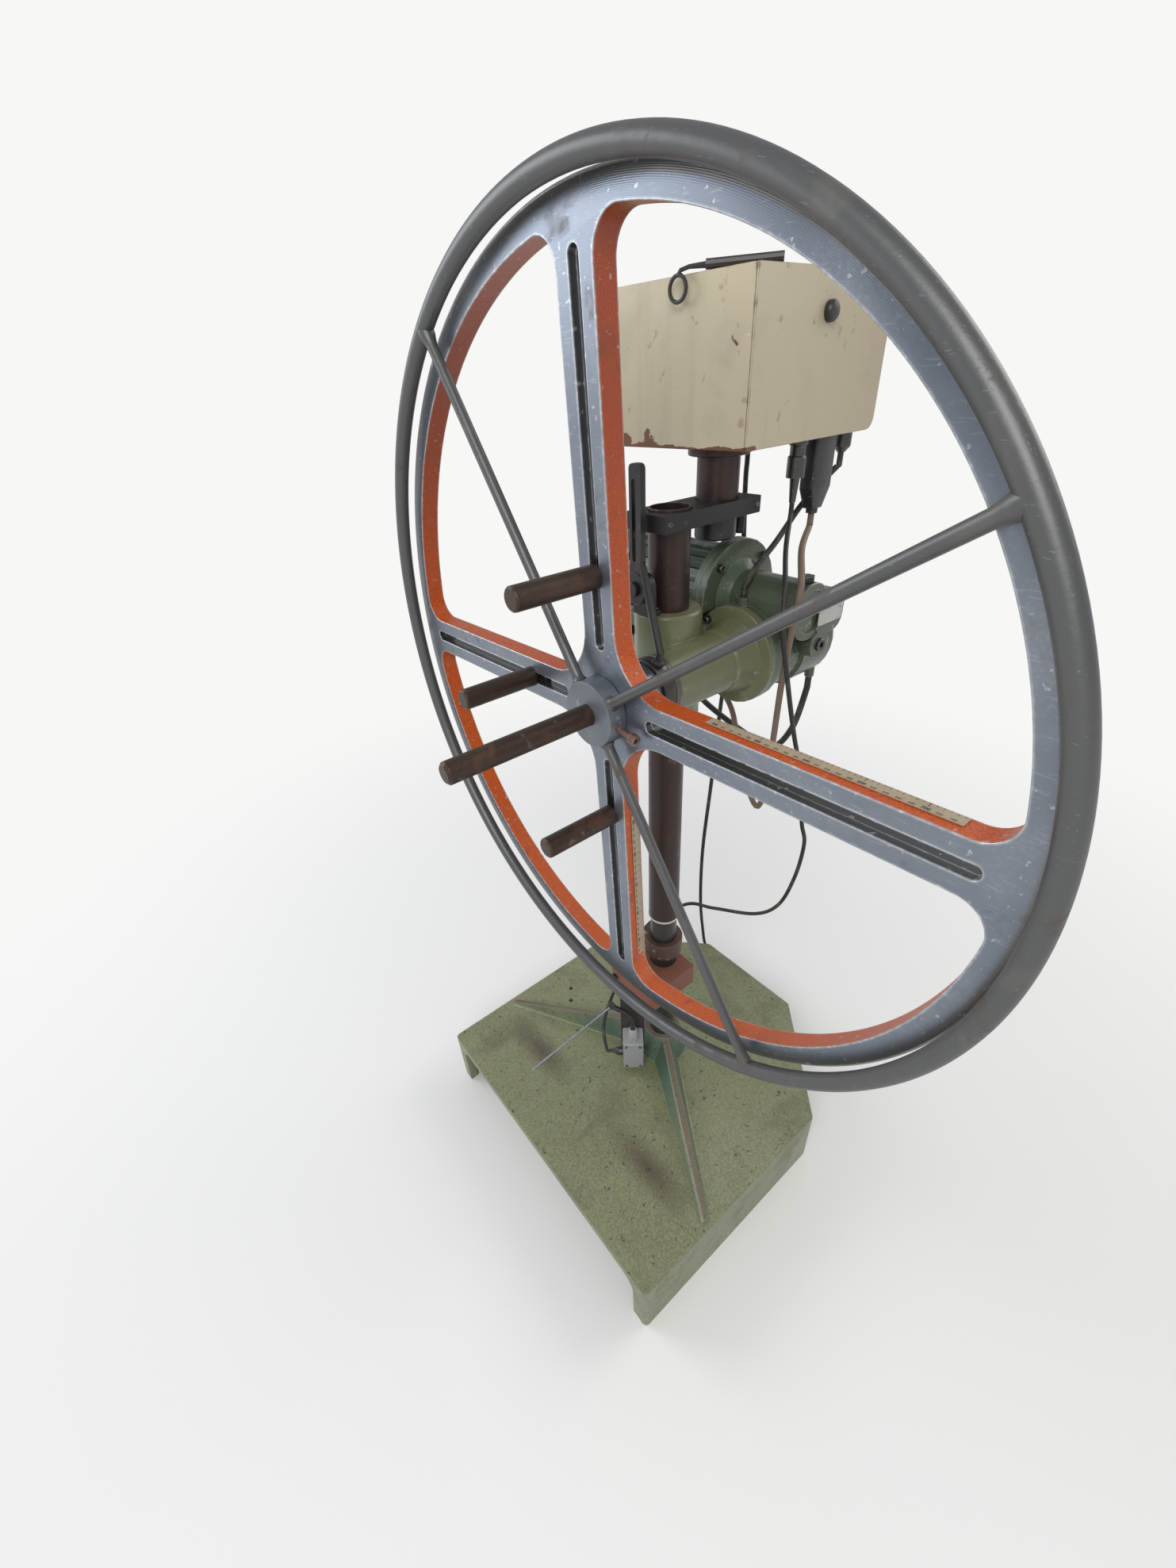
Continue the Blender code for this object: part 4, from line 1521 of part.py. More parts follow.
def box_inside():
    """The transformer on the floor of the case and the control board on its rear wall."""
    floor = BOX_WALL + SEAT_GAP
    x = TRANSFORMER_X
    y = TRANSFORMER_Y
    w = TRANSFORMER_HALF_WIDTH
    d = TRANSFORMER_HALF_DEPTH
    core = prism(rectangle((x - w, y - d), (x + w, y + d)), floor, floor + TRANSFORMER_HEIGHT)
    middle = floor + 0.5 * TRANSFORMER_HEIGHT
    coil = prism(rectangle((x - COIL_HALF_WIDTH, middle - COIL_HALF_HEIGHT),
                           (x + COIL_HALF_WIDTH, middle + COIL_HALF_HEIGHT),
                           ROUNDING_SHARE * COIL_HALF_HEIGHT, 3),
                 y - COIL_HALF_DEPTH, y + COIL_HALF_DEPTH, "Y")
    combine(core, [coil])
    finish(at_box(core), "transformer", GREY_STEEL)
    back = BOX_DEPTH - BOX_WALL - SEAT_GAP
    left = BOARD_LEFT_INSET - BOX_WIDTH
    low = BOARD_FOOT_RISE
    front = back - BOARD_STANDOFF - BOARD_THICKNESS
    board = prism(rectangle((left, low), (left + BOARD_WIDTH, low + BOARD_HEIGHT)), front,
                  front + BOARD_THICKNESS, "Y")
    extras = []
    for sx in (left + BOARD_INSET, left + BOARD_WIDTH - BOARD_INSET):
        for sz in (low + BOARD_INSET, low + BOARD_HEIGHT - BOARD_INSET):
            extras.append(prism(circle(BOARD_STANDOFF_RADIUS, 8, (sx, sz)), front + 0.5 * BOARD_THICKNESS,
                                back, "Y"))
    pitch = (BOARD_WIDTH - BOARD_INSET) / RELAY_COUNT
    for i in range(RELAY_COUNT):
        rx = left + BOARD_INSET + pitch * i
        rz = low + BOARD_FOOT_RISE
        extras.append(prism(rectangle((rx, rz), (rx + RELAY_WIDTH, rz + RELAY_HEIGHT)), front - RELAY_DEPTH,
                            front + 0.5 * BOARD_THICKNESS, "Y"))
    combine(board, extras)
    finish(at_box(board), "control_board", BOARD_GREEN)


def eye_bar():
    """The dark bar that lies on the case and the ring that hangs from it over the front edge."""
    bar_z = BOX_HEIGHT + SEAT_GAP + BAR_RADIUS
    ring = torus(RING_RADIUS, RING_WIRE_RADIUS, "Y", SMALL, 8)
    ring.location = (RING_X, RING_Y, RING_Z)
    neck_top = (RING_X + RING_RADIUS, 0.5 * RING_Y, bar_z)
    neck = sweep([(RING_X, RING_Y, RING_Z + RING_RADIUS), (RING_X + ROUNDING_SHARE * RING_RADIUS, RING_Y, bar_z
                  - RING_WIRE_RADIUS), neck_top, (BAR_START_X, BAR_START_Y, bar_z)],
                 [RING_WIRE_RADIUS] * 3 + [BAR_NECK_SHARE * BAR_RADIUS], 8)
    bar = sweep([(BAR_START_X - BAR_RADIUS, BAR_START_Y - BAR_RADIUS, bar_z), (BAR_END_X, BAR_END_Y, bar_z)],
                [BAR_RADIUS, BAR_RADIUS])
    combine(bar, [neck, ring])
    finish(at_box(bar), "eye_bar", BLACK_PAINT)


def connectors():
    """The three connectors and the mains gland under the case."""
    top = BOX_Z - SEAT_GAP
    r = SENSOR_PLUG_RADIUS
    body_end = top - SENSOR_PLUG_LENGTH
    sensor = lathe([(r, top)] + [(a * r, top - b * SENSOR_PLUG_LENGTH) for a, b in SENSOR_WAIST_SHARES]
                   + [(r, body_end), (SENSOR_BOOT_RADIUS, body_end),
                    (SENSOR_BOOT_END_RADIUS, body_end - SENSOR_BOOT_LENGTH)], "Z", SMALL)
    finish(placed(sensor, (CONNECTOR_X, SENSOR_PLUG_Y, 0)), "connector_sensor", GREY_STEEL)
    sections = []
    for drop, share in ((0, 1.0), (HOOD_LENGTH, 1.0), (HOOD_LENGTH + HOOD_TAPER_LENGTH, HOOD_END_SHARE)):
        w = HOOD_HALF_WIDTH * max(share, HOOD_SIDE_SHARE)
        d = HOOD_HALF_DEPTH * share
        outline = rectangle((-w, -d), (w, d), ROUNDING_SHARE * HOOD_HALF_WIDTH, 2)
        sections.append([(a, b, top - drop) for a, b in outline])
    hood = loft(sections)
    hood_end = top - HOOD_LENGTH - HOOD_TAPER_LENGTH
    nut = prism(circle(HOOD_NUT_RADIUS, 6), hood_end - HOOD_NUT_LENGTH, hood_end + OVERRUN)
    combine(hood, [nut])
    entry = bore(HOSE_RADIUS, CORD_GAP, SMALL)
    mouth = hood_end - HOOD_NUT_LENGTH
    cut(hood, [lathe([(entry, mouth - OVERRUN), (entry, mouth + CORD_BORE_DEPTH)], "Z", SMALL)])
    finish(placed(hood, (CONNECTOR_X, HOOD_Y, 0)), "connector_hood", BLACK_PLASTIC)
    third = lathe([(THIRD_PLUG_RADIUS, top), (THIRD_PLUG_RADIUS, top - THIRD_BODY_SHARE * THIRD_PLUG_LENGTH),
                   (ENCODER_CABLE_RADIUS + EDGE, top - THIRD_PLUG_LENGTH)], "Z", SMALL)
    finish(placed(third, (CONNECTOR_X, THIRD_PLUG_Y, 0)), "connector_motor", GREY_STEEL)
    gland = prism(circle(GLAND_NUT_RADIUS, 6), top - ROUNDING_SHARE * GLAND_LENGTH, top)
    dome = lathe([(GLAND_NECK_SHARE * GLAND_NUT_RADIUS, top - share * GLAND_LENGTH)
                  for share in GLAND_NECK_SHARES] + [(GLAND_END_RADIUS, top - GLAND_LENGTH)], "Z", TINY)
    combine(gland, [dome])
    finish(placed(gland, (MAINS_GLAND_X, MAINS_GLAND_Y, 0)), "mains_gland", BLACK_PLASTIC)


def switch_gland_end():
    """The mouth of the switch gland, in the world."""
    reach = SWITCH_HALF_WIDTH + SEAT_GAP + SWITCH_GLAND_LENGTH + CORD_GAP
    depth = 0.5 * SWITCH_DEPTH
    c = math.cos(SWITCH_YAW)
    s = math.sin(SWITCH_YAW)
    return (SWITCH_X - reach * c - depth * s, SWITCH_Y - reach * s + depth * c, SWITCH_GLAND_Z)


def mains_plug():
    """The plug at the mains cable's end, lying on the floor."""
    body = lathe([(PLUG_NECK_RADIUS, 0), (PLUG_NECK_RADIUS + EDGE, PLUG_NECK_LENGTH),
                  (PLUG_BODY_RADIUS, PLUG_NECK_LENGTH + ROUNDING_SHARE * PLUG_BODY_LENGTH),
                  (PLUG_BODY_RADIUS, PLUG_NECK_LENGTH + PLUG_BODY_LENGTH)], "X", SMALL)
    prongs = []
    start = PLUG_NECK_LENGTH + PLUG_BODY_LENGTH
    for side in (-0.5, 0.5):
        prongs.append(lathe([(PLUG_PRONG_RADIUS, start - OVERRUN), (PLUG_PRONG_RADIUS, start
                             + PLUG_PRONG_LENGTH)], "X", 8, (side * PLUG_PRONG_SPACING, 0)))
    combine(body, prongs)
    finish(placed(body, PLUG_START, PLUG_YAW), "mains_plug", BLACK_PLASTIC)


def cables(head):
    """All cables: each leaves its connector with a small gap and follows its route."""
    top = BOX_Z - SEAT_GAP
    sensor_start = (CONNECTOR_X, SENSOR_PLUG_Y, top - SENSOR_PLUG_LENGTH - SENSOR_BOOT_LENGTH - CORD_GAP)
    inward = (-math.cos(SWITCH_YAW), -math.sin(SWITCH_YAW), 0)
    cord("sensor_cable", sensor_start, DOWN, SENSOR_ROUTE, switch_gland_end(), inward, SENSOR_CABLE_RADIUS,
         BLACK_RUBBER)
    spigot_end = WORM_Z - TERMINAL_TOP_DROP - TERMINAL_HEIGHT - SPIGOT_LENGTH - CORD_GAP
    hose_start = (CONNECTOR_X, HOOD_Y, top - HOOD_LENGTH - HOOD_TAPER_LENGTH - HOOD_NUT_LENGTH + CORD_ENTRY)
    cord("motor_hose", hose_start, DOWN, HOSE_ROUTE, (HOSE_SPIGOT_X, WORM_Y, spigot_end), DOWN, HOSE_RADIUS,
         BEIGE_RUBBER, head)
    third_start = (CONNECTOR_X, THIRD_PLUG_Y, top - THIRD_PLUG_LENGTH - CORD_GAP)
    boss_top = (SPINDLE_X, CABLE_BOSS_Y + EDGE, SPINDLE_Z + CABLE_BOSS_TOP - CORD_ENTRY)
    cord("encoder_cable", third_start, DOWN, ENCODER_ROUTE, boss_top, UP, ENCODER_CABLE_RADIUS, BLACK_RUBBER)
    loop_start = (COVER_CABLE_X, COVER_CABLE_Y, COVER_CABLE_BOTTOM_Z - CORD_GAP)
    cord("loop_cable", loop_start, DOWN, LOOP_ROUTE, (LOOP_SPIGOT_X, WORM_Y, spigot_end), DOWN,
         LOOP_CABLE_RADIUS, BLACK_RUBBER, head)
    mains_start = (MAINS_GLAND_X, MAINS_GLAND_Y, top - GLAND_LENGTH - CORD_GAP)
    plug_back = Vector((-math.cos(PLUG_YAW), -math.sin(PLUG_YAW), 0))
    cord("mains_cable", mains_start, DOWN, MAINS_ROUTE, Vector(PLUG_START) + plug_back * CORD_GAP, plug_back,
         MAINS_CABLE_RADIUS, BLACK_RUBBER)


def build():
    """Clears the scene and models every piece on the empty that carries it."""
    for leftover in list(bpy.data.objects):
        bpy.data.objects.remove(leftover, do_unlink=True)
    head = joint_empty("head_lift_axis", (0, 0, SLEEVE_BOTTOM_Z))
    reel = joint_empty("reel_axis", (SPINDLE_X, 0, SPINDLE_Z))
    worm = joint_empty("worm_axis", (SPINDLE_X, WORM_Y, WORM_Z))
    guard = joint_empty("guard_axis", (SPINDLE_X, GUARD_CENTRE_Y, SPINDLE_Z))
    lever = joint_empty("lever_axis", (0, LEVER_BACK_Y, LEVER_AXIS_Z))
    feeler = joint_empty("feeler_axis", feeler_pivot(), SWITCH_YAW)
    door = joint_empty("door_axis", (BOX_X, BOX_Y, BOX_Z), BOX_YAW)
    base_casting()
    column()
    foot_fittings()
    limit_switch()
    feeler_arm(feeler)
    clamp_plate()
    upper_tube()
    box_shell()
    box_door(door)
    box_inside()
    eye_bar()
    connectors()
    mains_plug()
    cables(head)
    head_casting(head)
    gear_housing(head)
    gear_cover(head)
    oil_plug(head)
    motor_body(head)
    fan_cowl(head)
    terminal_box(head)
    lever_bracket(head)
    spindle_bearing = bearing("front", "Y", on_spindle, SPINDLE_RADIUS, BEARING_RADIUS, BEARING_FRONT_Y,
                              BEARING_WIDTH)
    finish(spindle_bearing, "bearing_front", BRIGHT_STEEL, head)
    spindle_bearing = bearing("rear", "Y", on_spindle, SPINDLE_RADIUS, BEARING_RADIUS, BEARING_REAR_Y,
                              BEARING_WIDTH)
    finish(spindle_bearing, "bearing_rear", BRIGHT_STEEL, head)
    for name, start in (("worm_bearing_left", WORM_BEARING_LEFT_X), ("worm_bearing_right", WORM_BEARING_RIGHT_X)):
        piece = bearing(name, "X", on_worm, WORM_JOURNAL_RADIUS, WORM_BEARING_RADIUS, start, WORM_BEARING_WIDTH)
        finish(piece, name, BRIGHT_STEEL, head)
    spindle(reel)
    worm_wheel(reel)
    reel_casting(reel)
    brake_drum(reel)
    rule("rule_right", SPOKE_TILT, reel)
    rule("rule_bottom", SPOKE_TILT - 0.25 * TURN, reel)
    worm_shaft(worm)
    motor_rotor(worm)
    guard_ring(guard)
    guard_screw(guard)
    for side, quarter in (("top", 1), ("left", 2), ("bottom", 3)):
        angle = SPOKE_TILT + TURN * quarter / SPOKE_COUNT
        x, z = polar(PIN_CIRCLE_RADIUS, angle)
        carrier = joint_empty("pin_" + side + "_axis", (x, REEL_FACE_Y, z))
        coil_pin("pin_" + side, angle, carrier)
        pin_nut("pin_nut_" + side, angle, carrier)
    brake_lever(lever)
    brake_pad(lever)


build()
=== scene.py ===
import math

import bmesh
import bpy
import numpy as np
from mathutils import Matrix, Vector


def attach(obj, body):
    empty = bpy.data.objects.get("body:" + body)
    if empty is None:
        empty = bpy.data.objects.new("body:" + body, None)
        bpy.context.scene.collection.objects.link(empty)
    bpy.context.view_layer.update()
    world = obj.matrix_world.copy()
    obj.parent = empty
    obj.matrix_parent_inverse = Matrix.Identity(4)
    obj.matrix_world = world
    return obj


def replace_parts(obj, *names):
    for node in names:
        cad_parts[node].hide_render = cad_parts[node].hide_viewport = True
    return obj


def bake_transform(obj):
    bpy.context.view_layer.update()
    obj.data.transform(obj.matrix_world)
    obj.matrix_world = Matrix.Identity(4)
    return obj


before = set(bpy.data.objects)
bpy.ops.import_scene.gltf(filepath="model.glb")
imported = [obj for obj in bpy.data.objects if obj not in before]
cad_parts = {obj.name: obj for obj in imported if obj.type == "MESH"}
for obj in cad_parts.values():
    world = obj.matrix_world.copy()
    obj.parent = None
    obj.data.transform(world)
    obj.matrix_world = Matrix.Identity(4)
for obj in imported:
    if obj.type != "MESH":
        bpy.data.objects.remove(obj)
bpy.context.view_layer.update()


# The viewpoint: a very wide lens close to the reel's right, looking down and back at the stand,
# with plain pale surroundings and three broad soft lamps.
def add_object(name, data):
    """A new object in the scene."""
    holder = bpy.data.objects.new(name, data)
    bpy.context.scene.collection.objects.link(holder)
    return holder


def place_camera():
    """The camera's axes come from its yaw, pitch and roll: forward, right and up in the row frame."""
    yaw, pitch, roll = math.radians(53.35), math.radians(33.21), math.radians(-3.77)
    spot = (0.5456, -0.5475, 1.2468)
    forward = Vector((-math.sin(yaw) * math.cos(pitch), math.cos(yaw) * math.cos(pitch), -math.sin(pitch)))
    side = Vector((math.cos(yaw), math.sin(yaw), 0))
    upward = side.cross(forward)
    right = side * math.cos(roll) + upward * math.sin(roll)
    up = upward * math.cos(roll) - side * math.sin(roll)
    camera = bpy.data.cameras.new("viewpoint")
    camera.sensor_fit = "VERTICAL"
    camera.sensor_height = 36
    camera.lens = 14.386
    camera.clip_start = 0.02
    holder = add_object("viewpoint", camera)
    axes = Matrix((right, up, -forward)).transposed().to_4x4()
    holder.matrix_world = Matrix.Translation(spot) @ axes
    bpy.context.scene.camera = holder


def soft_lamp(name, place, target, size, energy, tint):
    """A square area lamp that faces its target."""
    lamp = bpy.data.lights.new(name, "AREA")
    lamp.shape = "SQUARE"
    lamp.size = size
    lamp.energy = energy
    lamp.color = tint
    holder = add_object(name, lamp)
    holder.location = place
    holder.rotation_euler = (Vector(target) - Vector(place)).to_track_quat("-Z", "Y").to_euler()


def put(tree, kind, sockets=(), **settings):
    """Adds one shader node; a socket is given a value, or an output that is linked to it."""
    node = tree.nodes.new("ShaderNode" + kind)
    for key, value in settings.items():
        setattr(node, key, value)
    for key, value in dict(sockets).items():
        if isinstance(value, bpy.types.NodeSocket):
            tree.links.new(value, node.inputs[key])
        else:
            node.inputs[key].default_value = value
    return node


def maths(operation, first, second=0.0):
    """One step of arithmetic on numbers, the first of them an output in the tree."""
    return put(first.id_data, "Math", {0: first, 1: second}, operation=operation).outputs[0]


def times(first, second):
    """Two numbers or masks multiplied."""
    return maths("MULTIPLY", first, second)


def most(first, *masks):
    """The highest of several masks."""
    for mask in masks:
        first = maths("MAXIMUM", first, mask)
    return first


def vector(operation, first, second=(0, 0, 0)):
    """One step of vector arithmetic; a length or a dot product is a number."""
    node = put(first.id_data, "VectorMath", {0: first, 1: second}, operation=operation)
    return node.outputs["Value" if operation in ("LENGTH", "DOT_PRODUCT") else 0]


def surroundings():
    """Pale world and floor; what the camera and reflections see of them is plain near-white."""
    plain, ambient, fade_from, fade_to = (0.93, 0.93, 0.92, 1), (0.95, 0.97, 1.0, 1), 0.5, 2.2
    world = bpy.data.worlds.new("workshop")
    bpy.context.scene.world = world
    world.use_nodes = True
    tree = world.node_tree
    tree.nodes.clear()
    rays = put(tree, "LightPath").outputs
    seen = most(rays["Is Camera Ray"], rays["Is Transmission Ray"])
    shown = put(tree, "Background", {"Color": plain, "Strength": 1.0}).outputs[0]
    light = put(tree, "Background", {"Color": ambient, "Strength": 0.55}).outputs[0]
    both = put(tree, "MixShader", {0: seen, 1: light, 2: shown}).outputs[0]
    put(tree, "OutputWorld", {0: both})
    mesh = bpy.data.meshes.new("floor")
    mesh.from_pydata([(-30, -30, 0), (30, -30, 0), (30, 30, 0), (-30, 30, 0)], [], [(0, 1, 2, 3)])
    material = bpy.data.materials.new("pale_floor")
    material.use_nodes = True
    tree = material.node_tree
    shader = tree.nodes["Principled BSDF"]
    shader.inputs["Base Color"].default_value = (0.78, 0.78, 0.77, 1)
    shader.inputs["Roughness"].default_value = 0.8
    rays = put(tree, "LightPath").outputs
    seen = most(rays["Is Camera Ray"], rays["Is Glossy Ray"])
    reach = vector("LENGTH", put(tree, "TexCoord").outputs["Object"])
    far = put(tree, "MapRange", {"Value": reach, 1: fade_from, 2: fade_to}, interpolation_type="SMOOTHSTEP")
    glow = put(tree, "Emission", {"Color": plain, "Strength": 1.0}).outputs[0]
    both = put(tree, "MixShader", {0: times(far.outputs[0], seen), 1: shader.outputs[0], 2: glow})
    tree.links.new(both.outputs[0], tree.nodes["Material Output"].inputs["Surface"])
    mesh.materials.append(material)
    add_object("floor", mesh)


bpy.context.scene.view_settings.view_transform = "Standard"
place_camera()
surroundings()
soft_lamp("window_lamp", (1.6, -2.2, 2.9), (0, 0, 0.9), 1.8, 62, (1.0, 0.98, 0.95))
soft_lamp("side_lamp", (-2.4, -1.6, 2.2), (0, 0, 0.8), 1.6, 34, (0.92, 0.96, 1.0))
soft_lamp("back_lamp", (0.8, 2.6, 2.6), (0, 0, 0.9), 1.8, 30, (1.0, 0.97, 0.92))


# Wear that all finishes share: bare edges, drifting stains, fine scratches and an uneven skin.
# Each is a mask or a height worked out from the piece's own coordinates.
def new_group(name, floats, output):
    """An empty node group with a vector, some numbers as its inputs, and one number as its output."""
    group = bpy.data.node_groups.new(name, "ShaderNodeTree")
    group.interface.new_socket("Vector", in_out="INPUT", socket_type="NodeSocketVector")
    for label in floats:
        group.interface.new_socket(label, in_out="INPUT", socket_type="NodeSocketFloat")
    group.interface.new_socket(output, in_out="OUTPUT", socket_type="NodeSocketFloat")
    return group, group.nodes.new("NodeGroupInput").outputs, group.nodes.new("NodeGroupOutput").inputs[0]


def ramp(value, low, high, first=0, last=1):
    """A number that runs from first to last while a value runs from low to high, and stops there."""
    return put(value.id_data, "MapRange", {"Value": value, 1: low, 2: high, 3: first, 4: last}).outputs[0]


def between(mask, low, high):
    """A number that runs from low to high with a mask."""
    return ramp(mask, 0, 1, low, high)


def noise(coords, scale, detail, **more):
    """Cloudy noise about 0.5."""
    sockets = {"Vector": coords, "Scale": scale, "Detail": detail, **more}
    return put(coords.id_data, "TexNoise", sockets).outputs[0]


def parts_of(vectors):
    """The x, y and z of a vector output."""
    return put(vectors.id_data, "SeparateXYZ", {0: vectors}).outputs


def edge_group():
    """Mask of sharp edges: how far a rounded normal leans from the face's own, broken up by noise."""
    group, given, out = new_group("edge_mask", ("Radius", "Breakup", "Amount"), "Mask")
    rounded = put(group, "Bevel", {"Radius": given["Radius"]}, samples=3).outputs[0]
    lean = vector("DOT_PRODUCT", rounded, put(group, "NewGeometry").outputs["Normal"])
    turned_by = put(group, "Math", {0: 1, 1: lean}, operation="SUBTRACT").outputs[0]
    hidden_below = ramp(noise(given["Vector"], given["Breakup"], 4), 0.3, 0.7, 0.16, -0.02)
    shown = times(maths("SUBTRACT", turned_by, hidden_below), given["Amount"])
    group.links.new(ramp(shown, 0, 0.06), out)
    return group


def stain_group():
    """Mask of soft islands: distorted noise lifted above a cover level."""
    group, given, out = new_group("stain_mask", ("Scale", "Cover", "Softness"), "Mask")
    cloud = noise(given["Vector"], given["Scale"], 8, Roughness=0.62, Distortion=0.5)
    level = between(given["Cover"], 0.74, 0.28)
    group.links.new(ramp(cloud, level, maths("ADD", level, given["Softness"])), out)
    return group


def scratch_group():
    """Mask of fine scratches: noise stretched along two directions, only its peaks kept."""
    group, given, out = new_group("scratch_mask", ("Scale", "Cover"), "Mask")
    level = between(given["Cover"], 0.78, 0.55)
    top = maths("ADD", level, 0.03)
    masks = []
    for turn in ((0.5, 0.9, 0.3), (1.2, -0.4, 1.9)):
        lie = put(group, "Mapping", {"Vector": given["Vector"], "Rotation": turn, "Scale": (1, 14, 9)})
        masks.append(ramp(noise(lie.outputs[0], given["Scale"], 2), level, top))
    group.links.new(most(*masks), out)
    return group


def skin_group():
    """Height of an uneven skin: fine grains on broader swells."""
    group, given, out = new_group("skin_height", ("Fine", "Broad"), "Height")
    fine = times(noise(given["Vector"], given["Fine"], 3), 0.35)
    group.links.new(maths("ADD", fine, noise(given["Vector"], given["Broad"], 4)), out)
    return group


EDGE, STAIN, SCRATCH, SKIN = edge_group(), stain_group(), scratch_group(), skin_group()


def shared(group, coords, **numbers):
    """One of the shared groups at the piece's own coordinates."""
    return put(coords.id_data, "Group", {"Vector": coords, **numbers}, node_tree=group).outputs[0]


def stains(coords, scale, cover, softness):
    """Soft islands."""
    return shared(STAIN, coords, Scale=scale, Cover=cover, Softness=softness)


def over(mask, under, top):
    """Lays one colour over another where a mask is 1; a colour is an output or three numbers."""
    under, top = (c if isinstance(c, bpy.types.NodeSocket) else (*c, 1) for c in (under, top))
    return put(mask.id_data, "Mix", {0: mask, 6: under, 7: top}, data_type="RGBA").outputs[2]


def near(coords, centre, reach, soft):
    """Mask of an ellipsoid about a point of the piece, soft towards its rim."""
    offset = vector("SUBTRACT", coords, centre)
    length = vector("LENGTH", vector("MULTIPLY", offset, tuple(1 / r for r in reach)))
    return ramp(length, 1 - soft, 1, 1, 0)


def start_material(name):
    """A new material for one of the frame's slots, with its shader and the piece's own coordinates."""
    material = bpy.data.materials.new(name)
    material.use_nodes = True
    tree = material.node_tree
    return material, tree.nodes["Principled BSDF"], put(tree, "TexCoord").outputs["Object"]


def wire(shader, tone, rough, shine, height, strength, distance):
    """Links colour, roughness, shine and a bump of a height to the shader."""
    tree = shader.id_data
    relief = put(tree, "Bump", {"Height": height, "Strength": strength, "Distance": distance}).outputs[0]
    wires = {"Base Color": tone, "Roughness": rough, "Metallic": shine, "Normal": relief}
    for socket, value in wires.items():
        if value is not None:
            tree.links.new(value, shader.inputs[socket])


def finish_paint(name, colour, second, chip=(0.2, 0.17, 0.15), dust=(0.36, 0.31, 0.24),
                 roughness=0.4, scale=1, cover=0.4, chips=0.3, edge=0.0012, dirt=0.35, bump=0.1,
                 extra=None):
    """Worn paint: two tones that drift, dust, chips down to metal at edges, scratches and a soft skin.

    extra(coords, colour) may lay more colours on before the chips.
    """
    material, shader, coords = start_material(name)
    drift = stains(coords, 5 * scale, cover, 0.3)
    dusty = stains(coords, 17 * scale, dirt, 0.35)
    flakes = stains(coords, 38 * scale, 0.45 * chips, 0.02)
    lines = shared(SCRATCH, coords, Scale=16 * scale, Cover=0.5 * chips)
    bare = shared(EDGE, coords, Radius=edge, Breakup=70 * scale, Amount=1)
    tone = over(drift, colour, second)
    tone = over(times(dusty, 0.45), tone, dust)
    if extra:
        tone = extra(coords, tone)
    worn = most(flakes, bare)
    tone = over(times(lines, 0.25), tone, tuple(min(1, 1.6 * c + 0.05) for c in colour))
    tone = over(worn, tone, chip)
    rough = between(dusty, roughness, min(1, roughness + 0.25))
    skin = shared(SKIN, coords, Fine=700 * scale, Broad=90 * scale)
    height = maths("ADD", skin, times(worn, -0.8))
    wire(shader, tone, rough, times(worn, 0.5), height, bump * 3, 0.0008)
    return material


def finish_metal(name, colour, second, rust=(0.16, 0.07, 0.035), bright=(0.6, 0.6, 0.6),
                 roughness=0.42, scale=1, rusty=0.3, edges=1, metallic=0.6, bump=0.08):
    """Bare metal: two tones, rust islands that lose their shine, bright edges and crossing scratches."""
    material, shader, coords = start_material(name)
    drift = stains(coords, 9 * scale, 0.4, 0.3)
    spots = stains(coords, 26 * scale, rusty, 0.12)
    lines = shared(SCRATCH, coords, Scale=48 * scale, Cover=0.38)
    shiny = shared(EDGE, coords, Radius=0.001, Breakup=60 * scale, Amount=edges)
    tone = over(drift, colour, second)
    tone = over(times(lines, 0.14), tone, bright)
    tone = over(times(spots, 0.85), tone, rust)
    tone = over(times(shiny, 0.8), tone, bright)
    rough = between(most(spots, times(drift, 0.4)), roughness, min(1, roughness + 0.35))
    skin = shared(SKIN, coords, Fine=900 * scale, Broad=140 * scale)
    height = maths("ADD", skin, times(lines, -0.5))
    wire(shader, tone, rough, between(spots, metallic, metallic * 0.25), height, bump * 3, 0.0006)
    return material


def finish_plastic(name, colour, second, dust=(0.3, 0.27, 0.22), roughness=0.5, dirt=0.35):
    """Moulded plastic or rubber: a slight drift of tone, dust in patches, scuffs and a fine grain."""
    material, shader, coords = start_material(name)
    drift = stains(coords, 14, 0.45, 0.3)
    dusty = stains(coords, 40, dirt, 0.3)
    lines = shared(SCRATCH, coords, Scale=30, Cover=0.3)
    tone = over(times(most(dusty, lines), 0.4), over(drift, colour, second), dust)
    rough = between(dusty, roughness, min(1, roughness + 0.3))
    wire(shader, tone, rough, None, shared(SKIN, coords, Fine=1200, Broad=200), 0.18, 0.0004)
    return material


# Castings, forgings and sheet parts: each solid is shown as a copy with its joints between facets
# smoothed and its sharp edges broken, because no real edge on the machine is a knife edge.
def mend(source, mesh, merge, flat=None):
    """Writes a source mesh into a mesh with near points merged. Joints flatter than some degrees are
    dissolved where that is asked for, or else all faces are turned outward."""
    bm = bmesh.new()
    bm.from_mesh(source)
    bmesh.ops.remove_doubles(bm, verts=bm.verts, dist=merge)
    if flat is None:
        bmesh.ops.recalc_face_normals(bm, faces=bm.faces)
    else:
        bmesh.ops.dissolve_limit(bm, angle_limit=math.radians(flat), verts=bm.verts, edges=bm.edges)
    bm.to_mesh(mesh)
    bm.free()


def smooth_faces(mesh, material, angle):
    """Gives a mesh its only material, smooth but for edges sharper than an angle in degrees."""
    mesh.materials.clear()
    mesh.materials.append(material)
    mesh.shade_smooth()
    mesh.set_sharp_from_angle(angle=math.radians(angle))


def break_edges(piece, width, segments, angle):
    """Rounds the edges that are sharper than an angle in degrees."""
    bevel = piece.modifiers.new("broken_edges", "BEVEL")
    bevel.width = width
    bevel.segments = segments
    bevel.limit_method = "ANGLE"
    bevel.angle_limit = math.radians(angle)
    bevel.harden_normals = True


